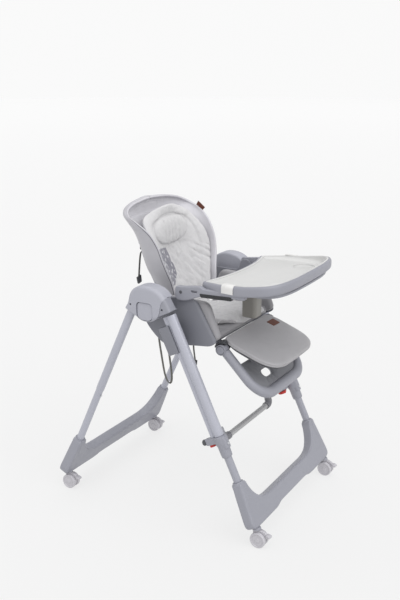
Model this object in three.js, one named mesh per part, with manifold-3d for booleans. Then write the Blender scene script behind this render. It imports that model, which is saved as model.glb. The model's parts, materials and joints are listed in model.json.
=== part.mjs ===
// Baby high chair: a folding A-frame on casters, with a seat that slides on the front legs.
// Millimetres, +Z up. The child faces -Y and their left side is +X. The origin is on the floor,
// midway between the casters.
import * as THREE from 'three';
import { mergeVertices } from 'three/addons/utils/BufferGeometryUtils.js';
import Module from 'manifold-3d';

const wasm = await Module();
wasm.setup();

// ---- Driving dimensions ------------------------------------------------------------------
const gap = 0.3; // between two pieces that touch
const play = 0.6; // between two pieces that move on each other

const originShift = 1.92; // brings the origin midway between the front brake tabs and the rear foot
const shell = { inner: 205, wall: 11 };
const shellOuter = shell.inner + shell.wall;
const frame = {
  legGap: 56, // side shell to the leg tubes' axes
  pivot: [28, 742], // fold hinge, y and z
  frontLean: 25.3, // degrees from vertical
  rearLean: 24.9,
  frontOffset: 63.2, // hinge to the front leg's axis
  rearOffset: 47.6, // hinge to the rear leg's axis
};
const legX = shellOuter + frame.legGap;
const profile = { mainR: 16, wall: 2.2, railR: 8.5, railOffset: 24, neck: 10, top: 57, length: 411 };
const innerTube = { r: 12.75, wall: 1.6, overlap: 82, socketDepth: 70 };
const rearTube = { r: 14, wall: 1.6, lowerR: 12.75, top: 20, step: 395 };
const foot = {
  top: 200, barTop: 118, barBottom: 67, endBottom: 58, // heights
  socketHalf: 20, flare: 17, thickness: 36, round: 10, stepX: 118, cornerR: 48,
};
const hub = { inboard: 29, outboard: 28, lobeR: 57, round: 10, socketBottom: 52, tongueR: 29, pinR: 5 };
const button = { size: 25, centre: [2, -20], thickness: 6, travel: 6, corner: 15 };
const clamp = { below: 0.7, length: 72, r: 21, armDepth: 22, armR: 12, knobReach: 58, knobR: 8 };
const crossbar = {
  r: 10, wall: 1.5, half: 156, below: 39.3, behind: 60, elbowR: 13, elbowReach: 16, cup: 18,
};
const caster = {
  outset: 4, frontOffset: -3.77, rearOffset: -9.98, trail: 10, wheelR: 26, wheelWidth: 12.5, bodyWidth: 10,
  axleR: 4, stemR: 5, stemLength: 24, plateR: 13, plate: 3, bossR: 16,
};
const casterX = legX + caster.outset;
const carriage = { top: 85, bottom: 178, back: 60, halfX: 20, rear: 78 };
const pan = { wall: 6, bolster: 21 };
const bolsterInner = shell.inner - pan.bolster;
const seatHalf = shell.inner - gap;
const calf = {
  hinge: [-181, 594], origin: [-150, 640], slope: 20, half: 172, start: 30, reach: 242, pad: 13, board: 6,
};
const loop = { inset: 5, r: 14, reach: 211, cornerR: 92, slope: 45, discR: 18 };
const plate = { start: 66, thickness: 5, holeHalf: 14, holeR: 15, holeX: 42, holeU: 128 };
const hingePin = { r: 5, inset: 44, ear: 10, past: 4 };
const loopHalf = calf.half - loop.inset;
const pinReach = calf.half + hingePin.past;
const earInner = calf.half - hingePin.inset;
const arm = { wall: 16.4, r: 23, pivot: [-66, 779], end: -292, pinR: 6 };
const armInner = shellOuter + play;
const armOuter = armInner + arm.wall;
const tray = {
  rim: 835, depth: 45, floorDrop: 31, floorWall: 4, lip: 14, wall: 4, rear: -150, front: -392,
  side: 7, bulge: 41, corner: -352, // its rear ends and front corners beside the arms
};
const trayHalf = armOuter + tray.side;
const trayWidest = armOuter + tray.bulge;
const traySkirt = tray.rim - tray.depth;
const trayFloor = tray.rim - tray.floorDrop;
const trayFloorTop = trayFloor + tray.floorWall;
const trayTop = {
  inset: 14.5, wall: 7, lift: 0.5, floorWall: 9.5, cupWall: 4, proud: 3, cupR: 38, cupAt: [150, -318],
};
const topBottom = trayFloorTop + trayTop.lift;
const clip = { y: [-220, -262], thickness: 3, height: 29, hook: 12 };
const post = { halfX: 26, y: [-226, -172], bottom: 662, cornerR: 14 };
const back = { hinge: [70, 650], axleR: 5, earX: 104, skin: 5, pad: 13, round: 0.77 };
// The liner's front at each of the back's first stations: half width, y of its edge, y of its middle.
const liner = {
  hollow: 2.2,
  front: [
    [104, 24, 48], [112, 23, 62], [120, 30, 77], [129, 38, 92], [145, 49, 105],
    [156, 59, 117], [161, 77, 125], [158, 108, 129], [140, 136, 132], [96, 150, 135],
  ],
};

// Free webbing hangs from the back shell and from under the seat, along these hand-set points.
const strapThickness = 1.6;
const backStrapRoute = [[-110, 157.7, 866], [-110, 163, 865], [-110, 168, 859], [-110, 171, 845],
  [-110, 174, 820], [-110, 178, 772]];
const loopStrapRoute = [
  [-160, 70, 644.7], [-160, 69, 620], [-160, 66, 580], [-160, 58, 530], [-160, 47, 470], [-160, 37, 442],
  [-160, 27, 434], [-160, 19, 442], [-160, 18, 470], [-160, 26, 530], [-160, 34, 580], [-160, 37, 616.2],
];
const seatStrapRoute = [[-190, -86, 602], [-190, -87, 585], [-190, -90, 562], [-190, -93, 542]];

// ---- Solids --------------------------------------------------------------------------------
function toSolid(geometry) {
  const bare = geometry.clone();
  bare.deleteAttribute('normal');
  bare.deleteAttribute('uv');
  const merged = mergeVertices(bare, 1e-3);
  return new wasm.Manifold(new wasm.Mesh({
    numProp: 3,
    vertProperties: new Float32Array(merged.attributes.position.array),
    triVerts: new Uint32Array(merged.index.array),
  }));
}

function toGeometry(solid) {
  const mesh = solid.getMesh();
  const geometry = new THREE.BufferGeometry();
  geometry.setAttribute('position', new THREE.BufferAttribute(mesh.vertProperties, 3));
  geometry.setIndex(new THREE.BufferAttribute(mesh.triVerts, 1));
  return geometry;
}

const join = (first, ...rest) => toGeometry(rest.reduce((sum, g) => sum.add(toSolid(g)), toSolid(first)));
const cut = (body, ...tools) => toGeometry(tools.reduce((left, g) => left.subtract(toSolid(g)),
  toSolid(body)));

// A closed outline through [a, b, fillet] corners.
function outline(corners) {
  const shape = new THREE.Shape();
  const points = corners.map(([a, b]) => new THREE.Vector2(a, b));
  points.forEach((corner, i) => {
    const fillet = corners[i][2] ?? 0;
    const before = points.at(i - 1);
    const after = points[(i + 1) % points.length];
    const start = corner.clone().lerp(before, Math.min(0.5, fillet / corner.distanceTo(before)));
    const end = corner.clone().lerp(after, Math.min(0.5, fillet / corner.distanceTo(after)));
    if (i === 0) shape.moveTo(start.x, start.y);
    else shape.lineTo(start.x, start.y);
    if (fillet) shape.quadraticCurveTo(corner.x, corner.y, end.x, end.y);
  });
  shape.closePath();
  return shape;
}

const disc = (a, b, r) => new THREE.Shape().absarc(a, b, r, 0, 2 * Math.PI);

// A straight bar with round ends, seen from above: its two centres and its radius.
function capsule([a0, b0], [a1, b1], r) {
  const angle = Math.atan2(b1 - b0, a1 - a0);
  const shape = new THREE.Shape();
  shape.absarc(a1, b1, r, angle - Math.PI / 2, angle + Math.PI / 2);
  shape.absarc(a0, b0, r, angle + Math.PI / 2, angle + 1.5 * Math.PI);
  shape.closePath();
  return shape;
}

const bases = {
  x: new THREE.Matrix4().makeBasis(unit(0, 1, 0), unit(0, 0, 1), unit(1, 0, 0)), // outline in y, z
  y: new THREE.Matrix4().makeBasis(unit(1, 0, 0), unit(0, 0, 1), unit(0, -1, 0)), // outline in x, z
  z: new THREE.Matrix4(), // outline in x, y
};
function unit(x, y, z) {
  return new THREE.Vector3(x, y, z);
}

// An outline extruded along one axis from one coordinate to another, with rounded edges.
function extrude(shape, axis, from, to, round = 0, curveSegments = 3) {
  const geometry = new THREE.ExtrudeGeometry(shape, {
    depth: to - from - 2 * round, steps: 1, curveSegments,
    bevelEnabled: round > 0, bevelThickness: round, bevelSize: round, bevelOffset: -round,
      bevelSegments: round > 5 ? 2 : 1,
  });
  geometry.translate(0, 0, (axis === 'y' ? -to : from) + round);
  return geometry.applyMatrix4(bases[axis]);
}

const box = ([x0, x1], [y0, y1], [z0, z1]) => new THREE.BoxGeometry(x1 - x0, y1 - y0, z1 - z0)
  .translate((x0 + x1) / 2, (y0 + y1) / 2, (z0 + z1) / 2);
const rod = (axis, a, b, r, from, to, sides = 8) => extrude(disc(a, b, r), axis, from, to, 0, sides);

// A tube or stepped tube along local -Z: [radius, distance down] corners around its wall.
function turned(corners, segments = 16) {
  const points = corners.map(([r, down]) => new THREE.Vector2(r, -down));
  return new THREE.LatheGeometry([...points, points[0]], segments).rotateX(Math.PI / 2);
}
const tube = (r, wall, from, to) => turned([[r - wall, to], [r, to], [r, from], [r - wall, from]]);

function sweep(shape, points, steps) {
  const extrudePath = new THREE.CatmullRomCurve3(points.map((p) => unit(...p)), false, 'centripetal');
  return new THREE.ExtrudeGeometry(shape, { steps, extrudePath, curveSegments: 4 });
}

function mirrored(geometry) {
  const copy = geometry.clone().scale(-1, 1, 1);
  const index = copy.index ?? new THREE.BufferAttribute(
    Uint32Array.from({ length: copy.attributes.position.count }, (_, i) => i), 1);
  for (let i = 0; i < index.count; i += 3) {
    const first = index.getX(i);
    index.setX(i, index.getX(i + 1));
    index.setX(i + 1, first);
  }
  return copy.setIndex(index);
}
const both = (geometry) => join(geometry, mirrored(geometry));

// ---- Scene graph -----------------------------------------------------------------------------
const chair = new THREE.Group();
chair.position.y = originShift;
const radians = THREE.MathUtils.degToRad;
const [pivotY, pivotZ] = frame.pivot;

// A group whose -Z runs down a leg, from the point of the leg's axis beside the fold hinge.
function legFrame(lean, offset) {
  const group = new THREE.Group();
  group.rotation.x = radians(lean);
  group.position.set(0, pivotY + offset * Math.cos(radians(lean)),
    pivotZ + offset * Math.sin(radians(lean)));
  group.updateMatrix();
  chair.add(group);
  return group;
}
const frontLeg = legFrame(-frame.frontLean, -frame.frontOffset);
const rearLeg = legFrame(frame.rearLean, frame.rearOffset);
const alongLeg = (geometry, group) => geometry.applyMatrix4(group.matrix);
const fromWorld = (geometry, group) => geometry.applyMatrix4(group.matrix.clone().invert());

const finish = (color, roughness, metalness = 0) => new THREE.MeshStandardMaterial({ color, roughness,
  metalness });
const materials = {
  plastic: finish(0x989ba4, 0.45),
  paint: finish(0xa6a8b3, 0.35, 0.3),
  bar: finish(0x97979b, 0.35, 0.5),
  darkPlastic: finish(0x55585e, 0.5),
  red: finish(0xb02a26, 0.4),
  caster: finish(0xc3c1c8, 0.4),
  steel: finish(0xb8babd, 0.3, 1),
  leather: finish(0xb3b2ba, 0.6),
  cloth: finish(0xdedde0, 0.9),
  white: finish(0xe6e6e4, 0.35),
  beige: finish(0xc6c2b6, 0.45),
  webbing: finish(0x55554c, 0.9),
};

function add(name, geometry, material, group = chair) {
  const mesh = new THREE.Mesh(geometry, materials[material]);
  mesh.name = name;
  group.add(mesh);
}
function addPair(name, geometry, material, group = chair) {
  add(`${name}_left`, geometry, material, group);
  add(`${name}_right`, mirrored(geometry), material, group);
}

// ---- Front legs -------------------------------------------------------------------------------
// The upper leg is an extrusion: a round tube with a thinner rail tube behind it, joined by a neck.
const profileEnd = profile.top + profile.length;
const railSection = [
  extrude(disc(legX, 0, profile.mainR), 'z', -profileEnd, -profile.top - gap, 0, 8),
  extrude(disc(legX, profile.railOffset, profile.railR), 'z', -profileEnd, -profile.top - gap),
  extrude(outline([
    [legX - profile.neck / 2, 0], [legX + profile.neck / 2, 0],
    [legX + profile.neck / 2, profile.railOffset], [legX - profile.neck / 2, profile.railOffset],
  ]), 'z', -profileEnd, -profile.top - gap),
];
const mainBore = profile.mainR - profile.wall;
addPair('front_leg', cut(
  join(...railSection),
  rod('z', legX, 0, mainBore, -profileEnd - 1, -profile.top + 1, 8),
  rod('z', legX, profile.railOffset, profile.railR - profile.wall, -profileEnd - 1, -profile.top + 1),
), 'paint', frontLeg);

// Heights become distances down a leg with these.
const downTo = (group, lean, z) => (group.position.z - z) / Math.cos(radians(lean));
const frontDown = (z) => downTo(frontLeg, frame.frontLean, z);
const rearDown = (z) => downTo(rearLeg, frame.rearLean, z);

// The casters' stems stand near the legs' axes, at the feet's underside.
const axisAt = (group, lean, z) => group.position.y + (group.position.z - z) * Math.tan(radians(lean));
const frontStem = axisAt(frontLeg, -frame.frontLean, foot.endBottom) + caster.frontOffset;
const rearStem = axisAt(rearLeg, frame.rearLean, foot.endBottom) + caster.rearOffset;

const frontSocketTop = frontDown(foot.top);
addPair('lower_leg', tube(innerTube.r, innerTube.wall, profileEnd - innerTube.overlap,
  frontSocketTop + innerTube.socketDepth - gap).translate(legX, 0, 0), 'paint', frontLeg);

// ---- Fold hinges --------------------------------------------------------------------------------
// Outlines here are in y and z from the hinge's axis.
const hubInner = legX - hub.inboard;
const hubOuter = legX + hub.outboard;
const hubWidth = [hubInner, hubOuter];
const polar = (r, degrees) => [r * Math.cos(radians(degrees)), r * Math.sin(radians(degrees))];
const besideLeg = (lean, across, down) => [
  across * Math.cos(radians(lean)) + down * Math.sin(radians(lean)),
  across * Math.sin(radians(lean)) - down * Math.cos(radians(lean)),
];
const atHinge = (geometry) => geometry.translate(0, pivotY, pivotZ);

// The whole hub is one rounded form: a dome over the hinge, with a leg's socket at each lower side.
const rearCorner = besideLeg(frame.rearLean, 67, hub.socketBottom);
const rearInner = besideLeg(frame.rearLean, 27, hub.socketBottom);
const frontAcross = -frame.frontOffset - profile.mainR - 9;
const frontCorner = besideLeg(-frame.frontLean, frontAcross, profile.top - 1);
const frontInner = besideLeg(-frame.frontLean, -22, profile.top - 1);
const hubShape = new THREE.Shape();
hubShape.moveTo(...rearCorner);
hubShape.splineThru([[70, 18], [55, 47], [28, 66], [-4, 74], [-40, 70], [-72, 56], [-90,
  36]].map((p) => new THREE.Vector2(...p)));
hubShape.lineTo(...frontCorner);
hubShape.lineTo(...frontInner);
hubShape.absarc(0, 0, hub.lobeR, Math.atan2(frontInner[1], frontInner[0]) + 2 * Math.PI, radians(308));
hubShape.lineTo(...rearInner);
const hubForm = atHinge(extrude(hubShape, 'x', ...hubWidth, hub.round, 4));

// The seam: an arc about the hinge below, flaring to the dome's front corner above.
function frontOfSeam(r) {
  const shape = new THREE.Shape();
  shape.moveTo(-150, 110);
  shape.lineTo(...polar(r + 36, 152));
  shape.quadraticCurveTo(-r, 24, ...polar(r, 178));
  shape.absarc(0, 0, r, radians(178), radians(226));
  shape.lineTo(...polar(r + 90, 226));
  shape.closePath();
  return atHinge(extrude(shape, 'x', hubInner - 10, hubOuter + 10, 0, 5));
}

const tongue = [hubInner + 20, hubInner + 34];
const sweepSlot = new THREE.Shape();
sweepSlot.moveTo(0, 0);
sweepSlot.lineTo(...polar(hub.lobeR + 40, 156));
sweepSlot.lineTo(...polar(hub.lobeR + 10, 205));
sweepSlot.lineTo(...polar(hub.lobeR + 10, 240));
sweepSlot.lineTo(...polar(hub.lobeR + 10, 276));
sweepSlot.closePath();

const [buttonY, buttonZ] = button.centre;
const squircle = (half) => outline([
  [buttonY - half, buttonZ - half, button.corner], [buttonY + half, buttonZ - half, button.corner],
  [buttonY + half, buttonZ + half, button.corner], [buttonY - half, buttonZ + half, button.corner],
]);
const buttonOuter = hubOuter + 1;
const buttonInner = buttonOuter - button.thickness;
const recess = buttonInner - button.travel - play;
const pinLength = [hubInner + 6, recess - 2];
const rearBore = alongLeg(rod('z', legX, 0, rearTube.r + gap, -hub.socketBottom - 40,
  -rearTube.top + gap), rearLeg);
addPair('hub_casing', cut(
  hubForm,
  frontOfSeam(hub.lobeR),
  atHinge(extrude(sweepSlot, 'x', tongue[0] - play, tongue[1] + play)),
  atHinge(rod('x', 0, 0, hub.tongueR + play, tongue[0] - play, tongue[1] + play, 12)),
  atHinge(extrude(squircle(button.size + play), 'x', recess, buttonOuter + 1)),
  atHinge(rod('x', 0, 0, hub.pinR + gap, hubInner - 1, recess - 1)),
  rearBore,
), 'plastic');
addPair('hub_button', atHinge(extrude(squircle(button.size), 'x', buttonInner, buttonOuter, 2)), 'plastic');
addPair('hub_pin', atHinge(rod('x', 0, 0, hub.pinR, ...pinLength)), 'steel');

// The front leg's socket fills the dome's corner and turns on the pin with a flat tongue.
const tongueShape = outline([
  [0, 10, 4], [-hub.lobeR - 6, 12, 2], [-hub.lobeR - 12, -18, 2], [-hub.lobeR + 2, -24, 2], [0, -20, 4],
]);
const spigot = rod('z', legX, 0, mainBore - gap, -profile.top - 40, -profile.top + 10);
const socketBody = cut(
  join(
    toGeometry(toSolid(hubForm).intersect(toSolid(frontOfSeam(hub.lobeR + play)))),
    atHinge(extrude(tongueShape, 'x', ...tongue)),
    atHinge(rod('x', 0, 0, hub.tongueR, ...tongue, 12)),
  ),
  atHinge(rod('x', 0, 0, hub.pinR + gap, tongue[0] - 1, tongue[1] + 1)),
  alongLeg(rod('z', legX, 0, 60, -profile.top - 60, -profile.top, 4), frontLeg),
);
addPair('front_socket', join(socketBody, alongLeg(spigot, frontLeg)), 'plastic');

// ---- Clamps, release levers and the crossbar between the front legs ----------------------------
const clampTop = profileEnd + clamp.below;
const clampEnd = clampTop + clamp.length;
const armEnd = clampTop + clamp.armDepth;
const legBore = rod('z', legX, 0, innerTube.r + gap, -clampEnd - 1, -clampTop + 1);
const elbowX = crossbar.half + crossbar.elbowReach;
const elbowAt = [elbowX, crossbar.behind];
const leverShape = outline([
  [legX - 52, 8, 4], [legX - 26, 22, 4], [legX - 22, 40, 6], [legX - 48, 48, 6], [legX - 58, 30, 6],
]);
addPair('leg_clamp', cut(
  join(
    extrude(disc(legX, 0, clamp.r), 'z', -clampEnd, -clampTop, 2, 10),
    extrude(capsule([legX, 0], [legX, clamp.knobReach], clamp.armR), 'z', -armEnd, -clampTop, 2),
    extrude(capsule([legX, 14], elbowAt, clamp.armR), 'z', -armEnd, -clampTop, 2),
    rod('y', legX, -clampTop - clamp.armDepth / 2, clamp.knobR, clamp.knobReach, clamp.knobReach + 20),
  ),
  legBore,
), 'plastic', frontLeg);
addPair('release_lever', extrude(leverShape, 'z', -armEnd - gap - 9, -armEnd - gap, 2), 'red', frontLeg);

const barDrop = clampTop + crossbar.below;
const barZ = -barDrop;
add('crossbar', cut(
  rod('x', crossbar.behind, barZ, crossbar.r, -crossbar.half, crossbar.half),
  rod('x', crossbar.behind, barZ, crossbar.r - crossbar.wall, -crossbar.half - 1, crossbar.half + 1),
), 'bar', frontLeg);
const bend = barDrop - armEnd - gap; // from the bar's axis up to the clamp arm
const elbowPath = [
  [crossbar.half - crossbar.cup, crossbar.behind, barZ], [elbowX - bend, crossbar.behind, barZ],
  [elbowX - bend * 0.3, crossbar.behind, barZ + bend * 0.3], [elbowX, crossbar.behind, barZ + bend],
];
addPair('crossbar_elbow', cut(
  sweep(disc(0, 0, crossbar.elbowR), elbowPath, 10),
  rod('x', crossbar.behind, barZ, crossbar.r + gap, crossbar.half - crossbar.cup - 2, crossbar.half + gap),
  box([0, 400], [-200, 200], [-armEnd - gap, -armEnd + 60]),
), 'darkPlastic', frontLeg);

// ---- Feet ---------------------------------------------------------------------------------------
// Each foot is one moulding: a flared socket for each leg, running into the bar between them.
function footShape(down) {
  const top = down(foot.top);
  const half = [
    [legX - foot.socketHalf, -top], [legX - foot.socketHalf - foot.flare, -down(150), 30],
    [legX - foot.socketHalf - foot.flare - foot.cornerR, -down(foot.barTop), foot.cornerR],
  ];
  const outer = [
    [legX + foot.socketHalf, -top], [legX + foot.socketHalf + foot.flare, -down(foot.endBottom + 8), 26],
    [legX + foot.socketHalf - 6, -down(foot.endBottom - 14), 20],
    [foot.stepX + 12, -down(foot.endBottom - 4), 14], [foot.stepX - 12, -down(foot.barBottom), 14],
  ];
  const opposite = (corners) => corners.map(([a, ...rest]) => [-a, ...rest]);
  return outline([...opposite(half), ...half.reverse(), ...outer, ...opposite(outer).reverse()]);
}

function footBody(down, group, stemY) {
  const boss = (x) => fromWorld(rod('z', x, stemY, caster.bossR, foot.endBottom, foot.barTop - 20), group);
  const stemHole = (x) => fromWorld(
    rod('z', x, stemY, caster.stemR + gap, foot.endBottom - 5,
      foot.endBottom + caster.stemLength + gap), group);
  const below = fromWorld(box([-400, 400], [-600, 600], [foot.endBottom - 80, foot.endBottom]), group);
  const socketTop = down(foot.top);
  const socket = (x) => rod('z', x, 0, innerTube.r + gap, -socketTop - innerTube.socketDepth,
    -socketTop + 5);
  return cut(
    join(extrude(footShape(down), 'y', -foot.thickness / 2, foot.thickness / 2, foot.round),
      boss(casterX), boss(-casterX)),
    below, stemHole(casterX), stemHole(-casterX), socket(legX), socket(-legX),
  );
}
add('front_foot', footBody(frontDown, frontLeg, frontStem), 'plastic', frontLeg);
add('rear_foot', footBody(rearDown, rearLeg, rearStem), 'plastic', rearLeg);

// ---- Rear legs ----------------------------------------------------------------------------------
const rearEnd = rearDown(foot.top) + innerTube.socketDepth - gap;
addPair('rear_leg', turned([
  [rearTube.lowerR - rearTube.wall, rearEnd], [rearTube.lowerR, rearEnd], [rearTube.lowerR, rearTube.step],
  [rearTube.r, rearTube.step - 3], [rearTube.r, rearTube.top], [rearTube.lowerR - rearTube.wall,
    rearTube.top],
]).translate(legX, 0, 0), 'paint', rearLeg);

// ---- Casters --------------------------------------------------------------------------------------
// Twin wheels on one axle, a body between them with the swivel stem, and a foot brake.
const casterInner = caster.bodyWidth / 2 + play;
const wheelFacets = 16;
const wheelsGeometry = new THREE.LatheGeometry([
  [0, -casterInner - caster.wheelWidth], [caster.wheelR - 3, -casterInner - caster.wheelWidth],
  [caster.wheelR, -casterInner - caster.wheelWidth + 3], [caster.wheelR, -casterInner],
  [caster.axleR, -casterInner], [caster.axleR, casterInner], [caster.wheelR, casterInner],
  [caster.wheelR, casterInner + caster.wheelWidth - 3], [caster.wheelR - 3,
    casterInner + caster.wheelWidth],
  [0, casterInner + caster.wheelWidth],
].map(([r, x]) => new THREE.Vector2(r / Math.cos(Math.PI / wheelFacets), x)), wheelFacets,
  Math.PI / wheelFacets)
  .rotateZ(-Math.PI / 2);
const stemTop = foot.endBottom + caster.stemLength;
const plateTop = foot.endBottom - gap;
const brakeHinge = [-27, 42]; // y from the axle, height
const brakeFace = brakeHinge[0] + 1;
const bodyShape = outline([
  [-caster.trail * 2, 10, 12], [caster.trail + 6, 14, 12], [caster.trail + 12, plateTop - 1, 4],
  [-14, plateTop - 1, 6], [brakeFace, brakeHinge[1] + 9, 4], [brakeFace, brakeHinge[1] - 4, 4],
]);
const casterBody = join(
  cut(
    extrude(bodyShape, 'x', -caster.bodyWidth / 2, caster.bodyWidth / 2),
    rod('x', 0, caster.wheelR, caster.axleR + gap, -20, 20),
  ),
  rod('z', 0, caster.trail, caster.plateR, plateTop - caster.plate, plateTop),
  rod('z', 0, caster.trail, caster.stemR, plateTop - 1, stemTop),
);
const brakeGeometry = extrude(outline([
  [brakeFace - gap, brakeHinge[1] + 6, 1], [brakeHinge[0] - 14, brakeHinge[1] + 2, 2],
  [brakeHinge[0] - 14, brakeHinge[1] - 3, 2], [brakeFace - gap, brakeHinge[1], 0.5],
]), 'x', -9, 9);
for (const [end, stemY] of [['front', frontStem], ['rear', rearStem]]) {
  for (const [side, sign] of [['left', 1], ['right', -1]]) {
    const holder = new THREE.Group();
    holder.position.set(sign * casterX, stemY - caster.trail, 0);
    chair.add(holder);
    add(`${end}_caster_body_${side}`, casterBody, 'caster', holder);
    add(`${end}_caster_wheels_${side}`, wheelsGeometry.clone().translate(0, 0, caster.wheelR),
      'caster', holder);
    add(`${end}_caster_brake_${side}`, brakeGeometry, 'caster', holder);
  }
}

// ---- Seat ---------------------------------------------------------------------------------------
// Two side shells, a pan between them, and a carriage behind each leg that runs on its rail.
const [hingeY, hingeZ] = calf.hinge;
const [backY, backZ] = back.hinge;
const [armY, armZ] = arm.pivot;
const sideShape = [
  [-110, 757, 8], [-184, 628, 12], [-162, 613, 12], [-70, 603, 60], [4, 588, 40], [40, 612, 30],
  [82, 655, 30], [104, 716, 20], [92, 757, 12],
];
const pivotEar = capsule([armY, armZ], [armY - 4, armZ - 40], arm.r - 3);
addPair('side_shell', cut(
  join(
    extrude(outline(sideShape), 'x', shell.inner, shellOuter, 2),
    extrude(pivotEar, 'x', shell.inner, shellOuter, 0, 6),
  ),
  rod('x', armY, armZ, arm.pinR + gap, shell.inner - 1, shellOuter + 1),
  rod('x', backY, backZ, back.axleR + gap, shell.inner - 1, shellOuter - 4),
), 'plastic');

const panLine = [[-158, 611], [-70, 601], [4, 595], [46, 624]];
const panShape = outline([
  ...panLine.map(([y, z]) => [y, z, 10]),
  ...panLine.map(([y, z]) => [y, z + pan.wall, 8]).reverse(),
]);
const earShape = outline([
  [-110, 608, 4], [-152, 612, 4], [hingeY + 12, hingeZ + 10, 6], [hingeY, hingeZ + 12, 6],
    [hingeY - 12, hingeZ, 6],
  [hingeY, hingeZ - 12, 6], [hingeY + 14, hingeZ - 8, 6],
]);
const earX = [earInner, earInner + hingePin.ear];
const panEar = join(
  extrude(earShape, 'x', ...earX),
  rod('x', hingeY, hingeZ, hingePin.r, earX[1] - 1, pinReach),
);
add('seat_pan', join(
  extrude(panShape, 'x', -seatHalf, seatHalf), panEar, mirrored(panEar),
), 'plastic');
add('recline_axle', rod('x', backY, backZ, back.axleR, -shellOuter + 5, shellOuter - 5), 'steel');

// The carriage is a block behind the rail with a channel that clips around it.
const channelTop = profile.railOffset - profile.railR + 2.5;
const carriageBlock = outline([
  [legX - carriage.halfX, channelTop, 4], [legX + carriage.halfX - 4, channelTop, 4],
  [legX + carriage.halfX - 4, carriage.back, 10], [legX - carriage.halfX, carriage.back, 10],
]);
const carriageWeb = outline([
  [shellOuter + gap, 20], [legX - carriage.halfX + 4, 20], [legX - carriage.halfX + 4, 52],
  [shellOuter + gap, carriage.rear],
]);
addPair('carriage', cut(
  join(
    extrude(carriageBlock, 'z', -carriage.bottom, -carriage.top, 1.5),
    extrude(carriageWeb, 'z', -carriage.bottom + 14, -carriage.top - 6),
  ),
  rod('z', legX, profile.railOffset, profile.railR + gap, -carriage.bottom - 1, -carriage.top + 1, 16),
), 'plastic', frontLeg);

// The padded seat cover: a cushion on the pan with a bolster along each side.
const cushion = outline([
  [-166, 620, 6], [-162, 646, 14], [20, 650, 20], [42, 646, 10], [40, 630, 4], [4, 603], [-70, 609],
    [-156, 619, 4],
]);
const bolster = outline([
  [-166, 626, 6], [-106, 744, 10], [24, 744, 20], [46, 690, 12], [38, 634, 6], [4, 608], [-70, 614],
    [-154, 624, 4],
]);
add('seat_pad', both(join(
  extrude(cushion, 'x', -10, bolsterInner + 1),
  extrude(bolster, 'x', bolsterInner, seatHalf),
)), 'leather');

// ---- Backrest -------------------------------------------------------------------------------------
// Stations up the back: height, half width, y of the front rim, y of the outer rear face.
const stations = [
  [676, 128, 20, 78], [700, 134, 8, 98], [740, 142, 10, 118], [780, 151, 17, 136], [820, 167, 28, 152],
    [860, 179, 43, 167],
  [900, 184, 59, 184], [940, 192, 86, 202], [970, 202, 120, 216], [994, 199, 160, 226], [1012, 166,
    188, 230],
  [1024, 112, 201, 229], [1030, 40, 206, 228],
];
const around = 12;
const lastRow = stations.length - 1;
// Each station is a rounded U, open to the front. The turn runs from one rim, behind, to the other.
const turns = Array.from({ length: around + 1 }, (_, i) => (i / around - 0.5) * Math.PI);
const acrossAt = (turn) => Math.sign(turn) * Math.abs(Math.sin(turn)) ** back.round;
const surface = (depth) => stations.map(([z, halfWidth, rimY, rearY], row) => turns.map((turn) => {
  const deep = Math.max(0, Math.cos(turn)) ** back.round;
  return [acrossAt(turn) * (halfWidth - depth), rimY + deep * (rearY - depth - rimY),
    z - depth * (row / lastRow) ** 3];
}));

// The closed solid between two grids of points, the first of them behind the second.
function between(behind, ahead) {
  const rows = behind.length;
  const columns = behind[0].length;
  const at = (side, row, i) => (side * rows + row) * columns + i;
  const index = [];
  const quad = (a, b, c, d) => index.push(a, b, c, a, c, d);
  for (let row = 0; row < rows - 1; row++) {
    for (let i = 0; i < columns - 1; i++) {
      quad(at(0, row, i), at(0, row + 1, i), at(0, row + 1, i + 1), at(0, row, i + 1));
      quad(at(1, row, i), at(1, row, i + 1), at(1, row + 1, i + 1), at(1, row + 1, i));
    }
    const end = columns - 1;
    quad(at(0, row, 0), at(1, row, 0), at(1, row + 1, 0), at(0, row + 1, 0));
    quad(at(0, row, end), at(0, row + 1, end), at(1, row + 1, end), at(1, row, end));
  }
  for (let i = 0; i < columns - 1; i++) {
    quad(at(0, 0, i), at(0, 0, i + 1), at(1, 0, i + 1), at(1, 0, i));
    quad(at(0, rows - 1, i), at(1, rows - 1, i), at(1, rows - 1, i + 1), at(0, rows - 1, i + 1));
  }
  const geometry = new THREE.BufferGeometry();
  geometry.setAttribute('position', new THREE.Float32BufferAttribute([behind, ahead].flat(3), 3));
  return geometry.setIndex(index);
}
const backSkin = (outer, inner) => between(surface(outer), surface(inner));

const shellEar = (y, z) => extrude(outline([
  [y - 12, z, 6], [y - 6, z - 12, 6], [y + 10, z - 12, 6], [y + 14, z + 10, 6], [y + 18, z + 48, 4],
    [y + 2, z + 48, 4],
  [y - 8, z + 20, 6],
]), 'x', back.earX, back.earX + 12);
const ears = shellEar(backY, backZ);
const housing = extrude(outline([
  [169, 870, 2], [222, 868, 6], [226, 935, 10], [199.5, 941, 2], [181, 900, 2],
]), 'x', -48, 48, 0);
const handle = { halfX: 30, y: [208, 216], z: [846, 914], travel: 12 };
add('back_shell', cut(
  join(backSkin(0, back.skin), ears, mirrored(ears), housing),
  rod('x', backY, backZ, back.axleR + gap, -back.earX - 20, back.earX + 20),
  box([-handle.halfX - gap, handle.halfX + gap], [handle.y[0] - gap, handle.y[1] + gap],
    [handle.z[0] - 10, handle.z[1] + handle.travel + play]),
), 'plastic');
add('recline_handle', cut(
  box([-handle.halfX, handle.halfX], handle.y, handle.z),
  extrude(capsule([-12, handle.z[0] + 11], [12, handle.z[0] + 11], 6), 'y', handle.y[0] - 5,
    handle.y[1] + 5),
), 'darkPlastic');
add('back_pad', backSkin(back.skin + gap, back.skin + back.pad), 'leather');

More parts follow.
